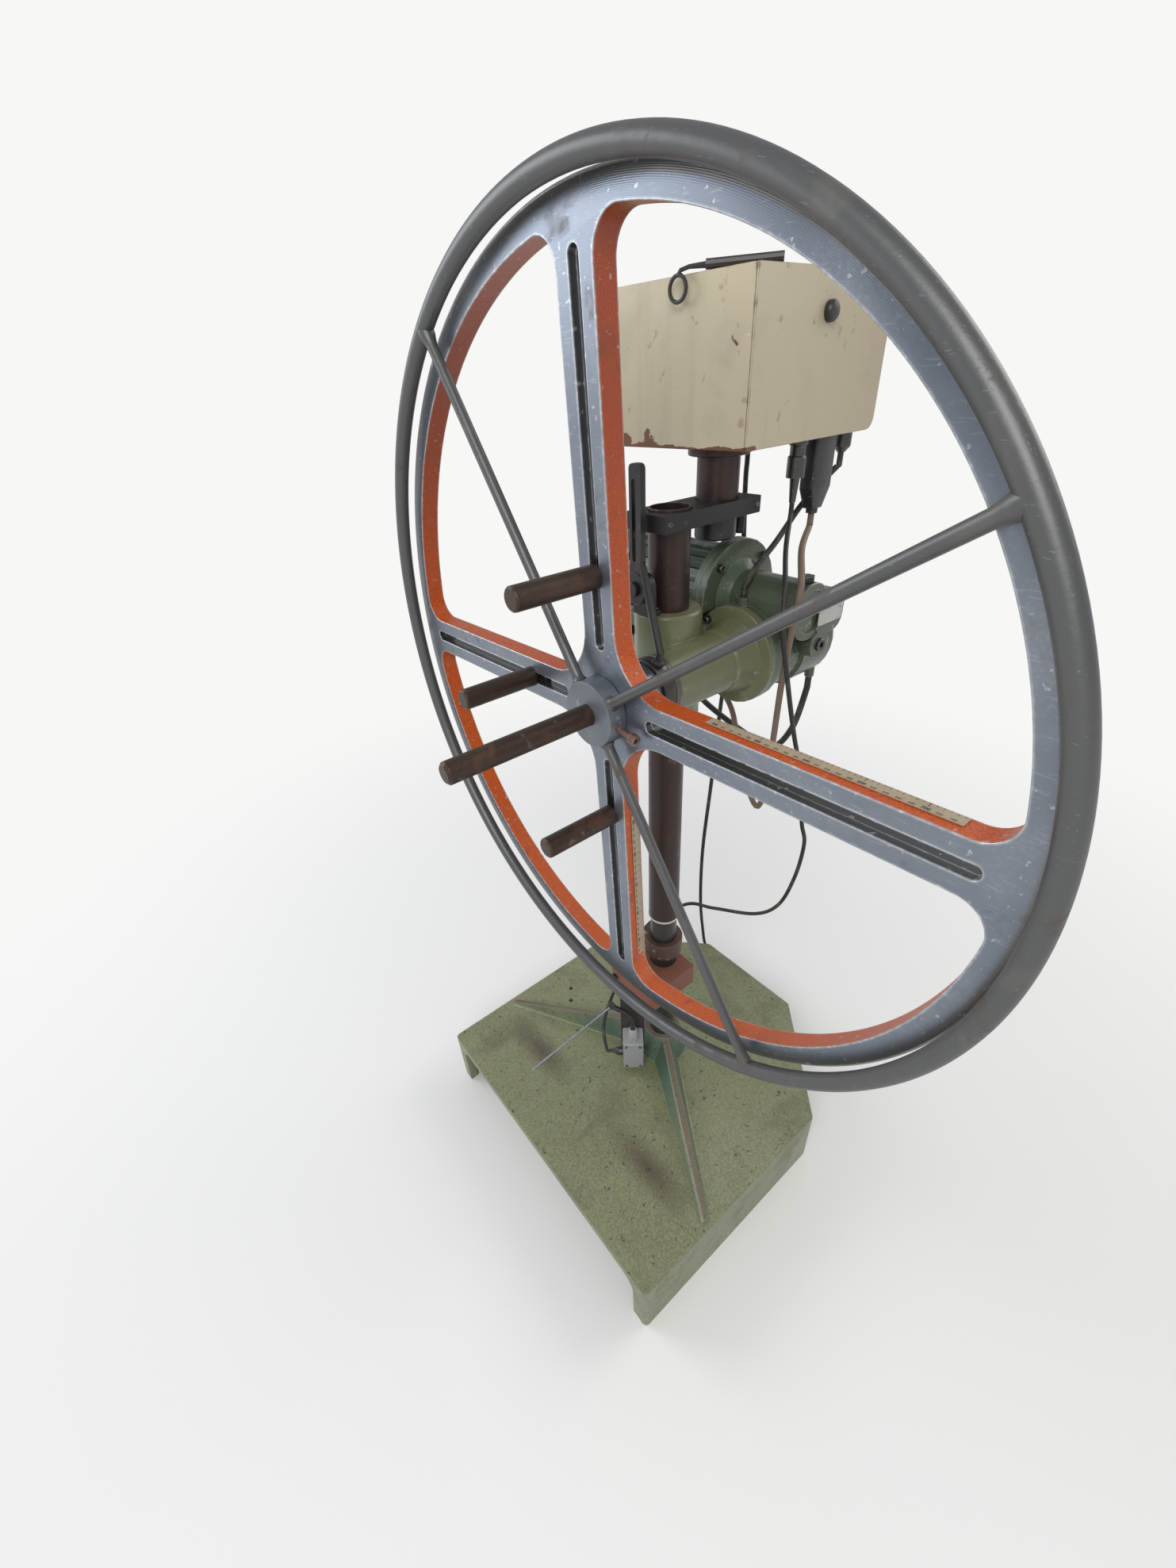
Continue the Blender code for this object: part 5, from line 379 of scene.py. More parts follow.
def dressed(node, body, material, edge):
    """A copy of a node, merged and cleared of flat joints, with rounded edges and smooth faces."""
    mesh = bpy.data.meshes.new(node + "_finished")
    mend(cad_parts[node].data, mesh, 0.000012, 0.6)
    piece = add_object(node + "_finished", mesh)
    smooth_faces(mesh, material, 32)
    if edge:
        break_edges(piece, edge, 2, 38)
    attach(piece, body)
    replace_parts(piece, node)
    return piece


def surface(name, rings, body, material, loop=False, smooth=34):
    """A skin over a grid of points, rings x points x 3: each ring is closed, and the last joins the
    first in a loop, or else the two ends are filled flat."""
    rings = np.asarray(rings, float)
    count, around = rings.shape[:2]
    row = np.arange(count if loop else count - 1)[:, None]
    spot = np.arange(around)[None, :]
    beside = (spot + 1) % around
    above = (row + 1) % count
    quads = np.stack([row * around + spot, row * around + beside, above * around + beside,
                      above * around + spot], axis=-1).reshape(-1, 4).tolist()
    ends = [] if loop else [list(range(around))[::-1], list(range((count - 1) * around, count * around))]
    mesh = bpy.data.meshes.new(name)
    mesh.from_pydata(rings.reshape(-1, 3).tolist(), [], quads + ends)
    mend(mesh, mesh, 0.000001)
    smooth_faces(mesh, material, smooth)
    piece = add_object(name, mesh)
    if body:
        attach(piece, body)
    return piece


def axes_about(direction):
    """Two unit vectors square to a direction."""
    direction = np.asarray(direction, float)
    direction = direction / np.linalg.norm(direction)
    helper = np.array([0.0, 0.0, 1.0]) if abs(direction[2]) < 0.9 else np.array([1.0, 0.0, 0.0])
    side = np.cross(direction, helper)
    side = side / np.linalg.norm(side)
    return direction, side, np.cross(direction, side)


def turned(profile, place, direction, around=48, six=()):
    """Rings of a turned form: radius r(i) at height h(i) along a direction; rings named in six are
    hexagons, r / cos(angle - nearest flat's middle)."""
    direction, side, up = axes_about(direction)
    profile = np.asarray(profile, float)
    theta = 2 * math.pi * np.arange(around) / around
    radius = np.repeat(profile[:, :1], around, axis=1)
    flat = 1 / np.cos((theta % (math.pi / 3)) - math.pi / 6)
    for row in six:
        radius[row] *= flat * math.cos(math.pi / 6)
    ring = np.cos(theta)[:, None] * side + np.sin(theta)[:, None] * up
    return np.asarray(place) + radius[:, :, None] * ring[None] + profile[:, 1][:, None, None] * direction


# Cables: black rubber and one beige hose, each one length of round cord held at its connectors.
# They hang in loose bows; the loop cable rides with the head, and those given a lift are baked in place on
# no body.
def smooth_line(knots, step):
    """Even points on the smooth curve p(t) through its knots, whose slope at a knot is half the
    step between its neighbours; the first and last knots only set the slopes."""
    knots = np.asarray(knots, float)
    t = (np.arange(40) / 40)[None, :, None]
    p0, p1, p2, p3 = (knots[i:len(knots) - 3 + i, None, :] for i in range(4))
    dense = 0.5 * (2 * p1 + (p2 - p0) * t + (2 * p0 - 5 * p1 + 4 * p2 - p3) * t ** 2
                   + (3 * p1 - p0 - 3 * p2 + p3) * t ** 3)
    dense = np.concatenate([dense.reshape(-1, 3), knots[-2:-1]])
    run = np.concatenate([[0], np.cumsum(np.linalg.norm(np.diff(dense, axis=0), axis=1))])
    even = np.linspace(0, run[-1], max(3, round(run[-1] / step)) + 1)
    return np.stack([np.interp(even, run, dense[:, k]) for k in range(3)], axis=-1)


def tube_rings(points, radius, around=16):
    """Circles carried along a path, each turned from the last by the least angle."""
    points = np.asarray(points, float)
    slopes = np.gradient(points, axis=0)
    slopes /= np.linalg.norm(slopes, axis=1)[:, None]
    side = axes_about(slopes[0])[1]
    sides = []
    for slope in slopes:
        side = side - slope * side.dot(slope)
        side = side / np.linalg.norm(side)
        sides.append(side)
    sides = np.asarray(sides)
    ups = np.cross(slopes, sides)
    theta = 2 * math.pi * np.arange(around) / around
    radius = np.broadcast_to(radius, len(points))[:, None, None]
    return points[:, None, :] + radius * (np.cos(theta)[None, :, None] * sides[:, None, :]
                                          + np.sin(theta)[None, :, None] * ups[:, None, :])


def cable(node, start, route, end, back, radius, material, body, lift=None):
    """A cord that starts downward, its ends straight for two diameters, drawn as a tube along its
    smooth line; route points that the straight start already passes are skipped."""
    start, end = np.asarray(start, float), np.asarray(end, float)
    lead, down = radius * 4, np.array((0, 0, -1))
    ahead = [np.asarray(p) for p in route if np.dot(np.asarray(p) - start, down) > lead * 1.05]
    knots = [start, start + down * lead] + ahead + [end + np.asarray(back) * lead, end]
    points = np.concatenate([[start], smooth_line(knots, radius * 1.6), [end]])
    piece = surface(node + "_cord", tube_rings(points, radius), None if lift else body, material)
    if lift:
        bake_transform(piece)
    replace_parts(piece, node)


black_rubber = finish_plastic(
    "black_rubber", (0.018, 0.017, 0.016), (0.035, 0.032, 0.03), roughness=0.55, dirt=0.45)
beige_rubber = finish_plastic(
    "beige_rubber", (0.17, 0.118, 0.082), (0.105, 0.068, 0.048), dust=(0.22, 0.18, 0.14),
    roughness=0.55, dirt=0.5)
black_plastic = finish_plastic(
    "black_plastic", (0.02, 0.02, 0.021), (0.035, 0.035, 0.036), roughness=0.38)
spindle_x, spindle_z, worm_y, worm_z = 0.0521, 0.9326, 0.115, 0.992
under_box = 1.1685 - 0.0003
switch_x, switch_y, switch_turn = 0.0133, -0.0872, math.radians(49.2)
switch_c, switch_s = math.cos(switch_turn), math.sin(switch_turn)
cable(
    "sensor_cable", (0.048, 0.1625, under_box - 0.0683), [(0.048, 0.16, 1.09), (0.08, 0.115, 1.06),
    (0.118, 0.0676, 1.0319), (0.1325, 0.0535, 0.985), (0.143, 0.0585, 0.9263), (0.1425, 0.089, 0.8416),
    (0.144, 0.12, 0.76), (0.1437, 0.14, 0.6745), (0.1476, 0.15, 0.6308), (0.142, 0.148, 0.56),
    (0.1177, 0.1527, 0.48), (0.0756, 0.15, 0.43), (0.019, 0.1075, 0.43), (-0.025, 0.08, 0.425),
    (-0.075, 0.03, 0.365), (-0.082, -0.03, 0.27), (-0.069, -0.088, 0.195)],
    (switch_x - 0.0376 * switch_c - 0.019 * switch_s, switch_y - 0.0376 * switch_s + 0.019 * switch_c, 0.16),
    (-switch_c, -switch_s, 0), 0.003, black_rubber, "stand")
spigot_end = worm_z - 0.0623 - 0.034 - 0.016 - 0.0003
cable(
    "motor_hose", (0.048, 0.206, under_box - 0.083), [(0.048, 0.205, 1.065), (0.085, 0.14, 1.055),
    (0.131, 0.079, 1.0323), (0.131, 0.0735, 0.994), (0.127, 0.071, 0.9186), (0.1186, 0.08, 0.832),
    (0.108, 0.092, 0.75), (0.0921, 0.1, 0.696), (0.065, 0.108, 0.715), (0.033, 0.116, 0.78),
    (0.0115, 0.12, 0.826), (-0.025, 0.118, 0.86)], (-0.06, worm_y, spigot_end), (0, 0, -1), 0.004,
    beige_rubber, "stand", lift=((0.12, 0.07, 1.04), (0.12, 0.07, 0.905)))
cable(
    "encoder_cable", (0.048, 0.253, under_box - 0.0223), [(0.047, 0.25, 1.13), (0.033, 0.23, 1.105),
    (0.029, 0.205, 1.085), (0.04, 0.15, 1.056), (0.05, 0.1, 1.035), (0.052, 0.082, 1.02)],
    (spindle_x, 0.0786, spindle_z + 0.069), (0, 0, 1), 0.0037, black_rubber, "stand",
    lift=((0.04, 0.2, 1.105), (0.04, 0.2, 1.03)))
cable(
    "loop_cable", (0.086, 0.194, 0.8737), [(0.085, 0.192, 0.86), (0.078, 0.182, 0.79), (0.05, 0.175, 0.75),
    (0.0, 0.17, 0.76), (-0.06, 0.145, 0.8), (-0.095, 0.122, 0.85)], (-0.1, worm_y, spigot_end), (0, 0, -1),
    0.0045, black_rubber, "head")
plug = dressed("mains_plug", "stand", black_plastic, 0.0008)
cable(
    "mains_cable", (-0.08, 0.23, under_box - 0.0243), [(-0.08, 0.23, 1.1), (-0.07, 0.225, 0.95),
    (-0.082, 0.215, 0.8), (-0.095, 0.215, 0.6), (-0.115, 0.225, 0.42), (-0.136, 0.252, 0.25),
    (-0.152, 0.285, 0.12), (-0.15, 0.297, 0.056), (-0.125, 0.302, 0.015), (-0.09, 0.303, 0.0052),
    (-0.062, 0.301, 0.011)], (-0.0323, 0.3, 0.0174), (-1, 0, 0), 0.0035, black_rubber, "stand")


# The reel: one aluminium casting with four slotted spokes. Its faces are turned bright and have gone
# blue-grey with handling; the cast walls between them keep an orange hammered paint, chipped, with painted
# shade towards the top, painted light towards the bottom and painted shade in the slots.
tilt = math.radians(2.03)


def reel_finish():
    """Machined faces where y lies on the front or back plane, hammered paint on all walls between."""
    material, shader, coords = start_material("reel_faces_and_walls")
    tree = coords.id_data
    place = parts_of(coords)
    front = ramp(place[1], -0.15045, -0.1507)
    rear = ramp(place[1], -0.1264, -0.12615)
    c, s = math.cos(tilt), math.sin(tilt)
    moved = vector("SUBTRACT", coords, (spindle_x, 0, spindle_z))
    along = maths("ABSOLUTE", vector("DOT_PRODUCT", moved, (c, 0, s)))
    across = maths("ABSOLUTE", vector("DOT_PRODUCT", moved, (-s, 0, c)))
    slot = ramp(maths("MINIMUM", along, across), 0.0125, 0.0118)
    reach = vector("LENGTH", vector("MULTIPLY", moved, (1, 0, 1)))
    within = ramp(reach, 0.405, 0.4056, 1, 0)
    slot = times(times(slot, within), between(most(front, rear), 1, 0))
    tread = ramp(reach, 0.43, 0.432)
    face = most(front, rear, slot, tread, ramp(place[1], -0.1262, -0.1259))
    centred = put(tree, "Mapping", {"Vector": coords, "Location": (-spindle_x, 0, -spindle_z)}).outputs[0]
    rings = put(tree, "TexWave", {"Vector": centred, "Scale": 260, "Distortion": 1.2, "Detail": 3,
                                  "Detail Scale": 4}, wave_type="RINGS", rings_direction="Y")
    rings = rings.outputs["Fac"]
    cloudy = stains(coords, 7, 0.55, 0.35)
    brown = stains(coords, 21, 0.3, 0.14)
    lines = shared(SCRATCH, coords, Scale=42, Cover=0.5)
    bare = shared(EDGE, coords, Radius=0.0034, Breakup=160, Amount=1.3)
    speck = ramp(noise(coords, 330, 5), 0.48, 0.66, 0, 0.55)
    metal = over(cloudy, (0.215, 0.24, 0.285), (0.32, 0.342, 0.378))
    metal = over(times(rings, 0.16), metal, (0.15, 0.175, 0.225))
    metal = over(times(speck, cloudy), metal, (0.4, 0.42, 0.45))
    metal = over(times(brown, 0.5), metal, (0.12, 0.092, 0.075))
    metal = over(times(lines, 0.2), metal, (0.48, 0.51, 0.55))
    # Painted shade: the walls inside the spoke slots are darkened nearly to black.
    metal = over(times(slot, 0.75), metal, (0.055, 0.05, 0.046))
    metal = over(times(tread, 0.45), metal, (0.22, 0.17, 0.11))
    metal = over(bare, metal, (0.72, 0.74, 0.76))
    cells = put(tree, "TexVoronoi", {"Vector": coords, "Scale": 520, "Smoothness": 0.6},
                feature="SMOOTH_F1").outputs[0]
    light_patches = stains(coords, 4, 0.42, 0.3)
    chips = stains(coords, 46, 0.06, 0.02)
    wall = over(cells, (0.58, 0.092, 0.005), (0.27, 0.04, 0.003))
    # Painted shade: the walls darken towards the top of the reel, where they face down.
    wall = over(ramp(place[2], 1, 1.22, 0, 0.75), wall, (0.26, 0.045, 0.014))
    # Painted light: the lowest walls, which face up, turn a paler orange in broad patches.
    low = ramp(place[2], 0.66, 0.54, 0, 0.55)
    wall = over(times(most(light_patches, 0.5), low), wall, (0.5, 0.15, 0.07))
    wall = over(times(brown, 0.7), wall, (0.1, 0.04, 0.02))
    worn = most(chips, bare)
    wall = over(worn, wall, (0.5, 0.5, 0.5))
    tone = over(face, wall, metal)
    shine = most(between(face, 0, 0.8), times(worn, 0.7))
    rough_face = between(most(brown, times(cloudy, 0.5)), 0.34, 0.58)
    rough = put(tree, "Mix", {0: face, 2: 0.42, 3: rough_face}, data_type="FLOAT").outputs[0]
    hammer = times(cells, between(face, 0.9, 0))
    fine = times(rings, between(face, 0, 0.1))
    height = maths("ADD", maths("ADD", hammer, fine), times(worn, -0.5))
    wire(shader, tone, rough, shine, height, 0.5, 0.0006)
    return material


def bow(centre, radius, first, last, steps):
    """Points on a circle's arc: centre + radius (cos a, sin a), a from first to last."""
    a = np.linspace(first, last, steps)
    return np.stack([centre[0] + radius * np.cos(a), centre[1] + radius * np.sin(a)], -1)


def upright(outline, angle, low, high):
    """Two rings of a prism along y: an outline in the reel's plane, turned about the spindle."""
    c, s = math.cos(angle), math.sin(angle)
    x = spindle_x + outline[:, 0] * c - outline[:, 1] * s
    z = spindle_z + outline[:, 0] * s + outline[:, 1] * c
    return np.stack([np.stack([x, np.full(len(x), y), z], -1) for y in (low, high)])


def reel_form():
    """A turned disc and boss, less the bore, four windows and four stepped slots."""
    face, back, ledge, spare, rim = -0.151, -0.126, -0.141, 0.003, 0.44
    corner, side, flare, inner_rim = 0.027, 0.0245, 0.065, 0.4169
    boss_end, bore_radius, slot_in, slot_out = -0.0913, 0.0128, 0.074, 0.3935
    profile = [(rim - 0.0036, face), (rim - 0.0018, face + 0.0005), (rim - 0.0005, face + 0.0018),
               (rim, face + 0.0036), (rim, back - 0.0036), (rim - 0.0011, back - 0.0011),
               (rim - 0.0036, back), (0.042, back), (0.038, back + 0.002), (0.0345, back + 0.005),
               (0.033, back + 0.008), (0.033, boss_end)]
    disc = turned(profile, (spindle_x, 0, spindle_z), (0, 1, 0), 288)
    body = surface("reel_casting_finished", disc, "reel", reel_metal)
    far = math.sqrt((inner_rim - corner) ** 2 - (side + corner) ** 2)
    swing = math.atan2(side + corner, far)
    window = np.concatenate([
        bow((side + flare, side + flare), flare, math.pi, 1.5 * math.pi, 20),
        bow((far, side + corner), corner, -0.5 * math.pi, swing, 14),
        bow((0, 0), inner_rim, swing, 0.5 * math.pi - swing, 64)[1:-1],
        bow((side + corner, far), corner, 0.5 * math.pi - swing, math.pi, 14)])
    bore = upright(bow((0, 0), bore_radius, 0, 2 * math.pi, 49)[:-1], 0, face - spare, 0)
    cutters = [surface("bore", bore, None, reel_metal)]
    for quarter in range(4):
        angle = tilt + 0.5 * math.pi * quarter
        rings = upright(window, angle, face - spare, back + spare)
        cutters.append(surface("window", rings, None, reel_metal))
        for half, low in ((0.0068, face - spare), (0.011, ledge)):
            slot = np.concatenate([bow((slot_out, 0), half, -0.5 * math.pi, 0.5 * math.pi, 13),
                                   bow((slot_in, 0), half, 0.5 * math.pi, 1.5 * math.pi, 13)])
            cutters.append(surface("slot", upright(slot, angle, low, back + spare), None, reel_metal))
    for cutter in cutters:
        step = body.modifiers.new("cut", "BOOLEAN")
        step.operation = "DIFFERENCE"
        step.solver = "EXACT"
        step.object = cutter
    bpy.context.view_layer.update()
    cut_mesh = bpy.data.meshes.new_from_object(body.evaluated_get(bpy.context.evaluated_depsgraph_get()))
    body.modifiers.clear()
    body.data = cut_mesh
    for cutter in cutters:
        bpy.data.objects.remove(cutter)
    mend(cut_mesh, cut_mesh, 0.00001, 0.3)
    smooth_faces(cut_mesh, reel_metal, 30)
    break_edges(body, 0.0011, 3, 40)
    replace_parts(body, "reel_casting")


reel_metal = reel_finish()
reel_form()


# Spindle, coil pins and their nuts: turned steel bars that have gone dark brown with old rust,
# rubbed a little brighter at their edges.
old_rust = finish_metal(
    "old_rust_steel", (0.058, 0.038, 0.028), (0.1, 0.064, 0.046), rust=(0.085, 0.033, 0.015),
    bright=(0.36, 0.31, 0.28), rusty=0.45, edges=0.7, bump=0.14)
dark_steel = finish_metal(
    "dark_steel", (0.06, 0.056, 0.055), (0.1, 0.09, 0.082), metallic=0.7)
dressed("spindle", "reel", old_rust, 0.0004)
for side in ("top", "left", "bottom"):
    dressed("pin_" + side, side + "_pin", old_rust, 0.0005)
    dressed("pin_nut_" + side, side + "_pin", dark_steel, 0.0006)


# The guard: a bent steel tube welded on three rods to a turned hub, dull dark grey with brown
# patches. A socket screw in the hub clamps it to the spindle.
guard_grey = finish_metal(
    "guard_grey_steel", (0.112, 0.114, 0.116), (0.19, 0.18, 0.158), rust=(0.1, 0.076, 0.056),
    bright=(0.44, 0.44, 0.43), edges=0.0, bump=0.1)
guard_hub = finish_metal(
    "guard_hub_steel", (0.165, 0.185, 0.21), (0.23, 0.25, 0.27), rust=(0.12, 0.09, 0.075),
    bright=(0.58, 0.6, 0.63), roughness=0.44, rusty=0.18)
guard_y, guard_radius, tube_radius, steps, sides = -0.166, 0.4449, 0.009, 240, 20
around = 2 * math.pi * np.arange(steps) / steps
tube = 2 * math.pi * np.arange(sides) / sides
reach = guard_radius + tube_radius * np.cos(tube)[None, :]
depth = np.broadcast_to(guard_y + tube_radius * np.sin(tube), (steps, sides))
ring = np.stack([spindle_x + reach * np.cos(around)[:, None], depth,
                 spindle_z + reach * np.sin(around)[:, None]], -1)
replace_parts(surface("guard_tube", ring, "guard", guard_grey, loop=True), "guard_ring")
hub = [(0.01265, -0.1745), (0.0371, -0.1745), (0.0377, -0.1742), (0.038, -0.1735), (0.038, -0.1522),
       (0.0374, -0.1514), (0.01265, -0.1514)]
surface("guard_hub", turned(hub, (spindle_x, 0, spindle_z), (0, 1, 0), 96), "guard", guard_hub, loop=True)
rod = [(0.006, 0.033), (0.0078, 0.0372), (0.0086, 0.0384), (0.0076, 0.0398), (0.0062, 0.042),
       (0.006, 0.045), (0.006, 0.423), (0.0063, 0.427), (0.0074, 0.432), (0.0088, 0.437), (0.0088, 0.444)]
for number, degrees in enumerate((34.3, 125.3, 304.5)):
    outward = (math.cos(math.radians(degrees)), 0, math.sin(math.radians(degrees)))
    rings = turned(rod, (spindle_x, guard_y, spindle_z), outward, 28)
    surface("guard_rod_%d" % number, rings, "guard", guard_grey, smooth=60)
screw_brown = finish_metal(
    "screw_brown_steel", (0.2, 0.105, 0.08), (0.27, 0.16, 0.13), rust=(0.15, 0.06, 0.03),
    roughness=0.4, rusty=0.35)
dressed("guard_screw", "guard", screw_brown, 0.0002)


# The drum behind the reel, its bearings, worm gear and rotor: turned parts inside or behind the head.
# The drum is oily dark steel, the wheel bronze, the worm and the bearings are bright steel.
bright_steel = finish_metal(
    "bright_steel", (0.48, 0.48, 0.47), (0.38, 0.38, 0.37), roughness=0.28, rusty=0.05,
    metallic=1.0)
bronze = finish_metal(
    "bronze", (0.52, 0.33, 0.14), (0.42, 0.25, 0.1), rust=(0.2, 0.12, 0.06),
    bright=(0.8, 0.6, 0.32), roughness=0.32, rusty=0.1, metallic=1.0)
dressed("brake_drum", "reel", dark_steel, 0.0005)
dressed("worm_wheel", "reel", bronze, 0.0003)
dressed("worm_shaft", "worm", bright_steel, 0)
dressed("motor_rotor", "worm", guard_grey, 0.0005)
for node in ("bearing_front", "bearing_rear", "worm_bearing_left", "worm_bearing_right"):
    dressed(node, "head", bright_steel, 0.0004)


# Two steel rules lie on the sides of the right and bottom spokes. Their tan strips carry black marks
# for the coil's diameter: a number every 20, a bold one at each hundred, fine marks between.
rule_tan = finish_paint(
    "rule_tan", (0.36, 0.29, 0.2), (0.25, 0.195, 0.135), chip=(0.16, 0.12, 0.09),
    dust=(0.15, 0.11, 0.075), scale=3.0, chips=0.35, edge=0.0004, dirt=0.5)
rule_black = finish_plastic("rule_black", (0.015, 0.013, 0.012), (0.035, 0.028, 0.022))
label_half = 0.00005


def figure(value):
    """The flat mesh of a number, centred, larger and bolder at each hundred."""
    label = bpy.data.curves.new("figure", "FONT")
    label.body = str(value)
    label.size = 0.0046 if value % 100 == 0 else 0.0034
    label.offset = 0.0001 if value % 100 == 0 else 0
    label.extrude = label_half
    label.align_x = "CENTER"
    label.resolution_u = 3
    holder = add_object("figure", label)
    bpy.context.view_layer.update()
    mesh = bpy.data.meshes.new_from_object(holder.evaluated_get(bpy.context.evaluated_depsgraph_get()))
    bpy.data.objects.remove(holder)
    return mesh


def rule_marks(node, angle):
    """Marks and numbers on a rule: each is laid flat at its radius along the spoke's own direction,
    0.1 mm proud of the strip, and then turned with the spoke."""
    spoke_side, gap, strip, proud, centre_y = 0.0245, 0.0003, 0.001, 0.00012, -0.1345
    low = spoke_side + gap + strip
    radii = np.arange(145, 376, 5) / 1000.0
    long_mark = (np.round(radii * 2000) % 100 == 0)
    middle_mark = (np.round(radii * 2000) % 20 == 0)
    depth = np.where(long_mark, 0.0052, np.where(middle_mark, 0.0036, 0.0022))
    half = np.where(long_mark, 0.00028, 0.00016)
    corner = np.array([(-1, 0, 0), (1, 0, 0), (1, 1, 0), (-1, 1, 0),
                       (-1, 0, 1), (1, 0, 1), (1, 1, 1), (-1, 1, 1)])
    x = radii[:, None] + corner[None, :, 0] * half[:, None]
    y = centre_y + 0.0057 - corner[None, :, 1] * depth[:, None]
    z = np.broadcast_to(low + corner[None, :, 2] * proud, x.shape)
    sides = np.array([(0, 1, 2, 3), (4, 7, 6, 5), (0, 4, 5, 1), (1, 5, 6, 2), (2, 6, 7, 3), (3, 7, 4, 0)])
    faces = (sides[None] + 8 * np.arange(len(radii))[:, None, None]).reshape(-1, 4)
    bars = bpy.data.meshes.new("bars")
    bars.from_pydata(np.stack([x, y, z], axis=-1).reshape(-1, 3).tolist(), [], faces.tolist())
    bm = bmesh.new()
    bm.from_mesh(bars)
    for value in range(300, 741, 20):
        mesh = figure(value)
        mesh.transform(Matrix.Translation((value / 2000, centre_y - 0.005, low + proud - label_half)))
        bm.from_mesh(mesh)
    c, s = math.cos(angle), math.sin(angle)
    spoke = Matrix(((c, 0, -s, spindle_x), (0, 1, 0, 0), (s, 0, c, spindle_z), (0, 0, 0, 1)))
    bmesh.ops.transform(bm, matrix=spoke, verts=bm.verts)
    bmesh.ops.recalc_face_normals(bm, faces=bm.faces)
    joined = bpy.data.meshes.new(node + "_marks")
    bm.to_mesh(joined)
    bm.free()
    joined.materials.clear()
    joined.materials.append(rule_black)
    marks = add_object(node + "_marks.001", joined)
    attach(marks, "reel")


for node in ("rule_right", "rule_bottom"):
    dressed(node, "reel", rule_tan, 0.0002)
rule_marks("rule_right", tilt)
rule_marks("rule_bottom", tilt - 0.5 * math.pi)


# The head: barrel, flange and column sleeve in one iron casting. Thick olive paint covers it, paler
# on the sleeve and brown at its top, worn dark at the barrel's front end and bare at the rims.
def head_colours(coords, tone):
    """A paler green on the sleeve, brown towards its top, dark where the barrel's front is worn."""
    place = parts_of(coords)
    sleeve = near(coords, (-0.005, 0, 0.92), (0.062, 0.06, 0.12), 0.15)
    streak = stains(coords, 9, 0.5, 0.2)
    mint = over(times(streak, 0.6), (0.19, 0.225, 0.14), (0.125, 0.14, 0.07))
    tone = over(sleeve, tone, mint)
    high = ramp(place[2], 0.955, 0.995)
    brown = times(most(times(high, streak), times(high, 0.5)), sleeve)
    tone = over(brown, tone, (0.13, 0.08, 0.045))
    ahead = ramp(place[1], -0.062, -0.07)
    torn = ramp(maths("ADD", ahead, noise(coords, 70, 4)), 1, 1.06)
    return over(torn, tone, (0.075, 0.065, 0.055))


olive_head = finish_paint(
    "olive_head_paint", (0.135, 0.14, 0.074), (0.08, 0.088, 0.045), chip=(0.3, 0.31, 0.28),
    dust=(0.085, 0.062, 0.038), roughness=0.28, cover=0.5, chips=0.22, edge=0.0016, dirt=0.45, bump=0.16,
    extra=head_colours)
dressed("head_casting", "head", olive_head, 0.001)


def socket_screw(name, place, direction, radius, body, height=None):
    """A socket head: turned rim with a hexagonal recess sunk into its top, 1.6 radii high unless a
    height is given."""
    height = radius * 1.6 if height is None else height
    hexagon = radius * 0.55
    profile = [(radius * 0.9, -0.0006), (radius, 0), (radius, height - radius * 0.18),
               (radius * 0.86, height), (hexagon * 1.08, height), (hexagon, height - 0.0002),
               (hexagon, height * 0.45)]
    surface(name, turned(profile, place, direction, 36, six=(4, 5, 6)), body, black_screw)


def screw_row(name, places, direction, radius, body, height=None):
    """Equal socket heads, numbered in the order of their places."""
    for number, place in enumerate(places):
        socket_screw("%s_%d" % (name, number), place, direction, radius, body, height)


black_screw = finish_metal(
    "black_screw_steel", (0.035, 0.034, 0.034), (0.075, 0.065, 0.058), roughness=0.38,
    metallic=0.7)
screw_row("sleeve_screw", [(-0.051, -0.015, z) for z in (0.892, 0.963)], (0, -1, 0), 0.0065, "head")


# Gearbox: a green-grey painted housing bolted to the head's flange, with the worm's tube across it,
# a cast boss and a side pad that carries an unmarked metal plate, and a hexagon oil plug on top.
green_paint = finish_paint(
    "green_grey_paint", (0.058, 0.078, 0.05), (0.092, 0.106, 0.066), chip=(0.36, 0.37, 0.34),
    dust=(0.075, 0.058, 0.038), roughness=0.28, cover=0.45, chips=0.22, edge=0.0014, dirt=0.45, bump=0.16)
for node in ("gear_housing", "gear_cover"):
    dressed(node, "head", green_paint, 0.001)
dressed("oil_plug", "head", black_screw, 0.0006)
places = bow((spindle_x, spindle_z), 0.0555, 0.25 * math.pi, 1.25 * math.pi, 3)
screw_row("flange_screw", [(x, 0.0616, z) for x, z in places], (0, -1, 0), 0.005, "head")
socket_screw("boss_screw", (0.123, 0.139, 0.946), (1, 0, 0), 0.0078, "head", 0.009)
plate_metal = finish_metal(
    "plate_metal", (0.42, 0.42, 0.4), (0.34, 0.33, 0.31), roughness=0.36, scale=2.0,
    rusty=0.15, metallic=0.8)
plate_y, plate_z = 0.1535, 0.987
outline = np.concatenate([
    bow((0.0215 * a, 0.0125 * b), 0.0035, k * 0.5 * math.pi, (k + 1) * 0.5 * math.pi, 6)
    for k, (a, b) in enumerate([(1, 1), (-1, 1), (-1, -1), (1, -1)])])
rings = [[(x, plate_y + a * s, plate_z + b * s) for a, b in outline]
         for x, s in ((0.1279, 1.0), (0.1286, 1.0), (0.1288, 0.985))]
surface("blank_plate", rings, "head", plate_metal)
rivet = [(0.0018, 0), (0.0018, 0.0004), (0.0012, 0.001), (0.0003, 0.0012)]
for number, y in enumerate((plate_y - 0.0205, plate_y + 0.0205)):
    rings = turned(rivet, (0.1287, y, plate_z), (1, 0, 0), 20)
    surface("plate_rivet_%d" % number, rings, "head", plate_metal)


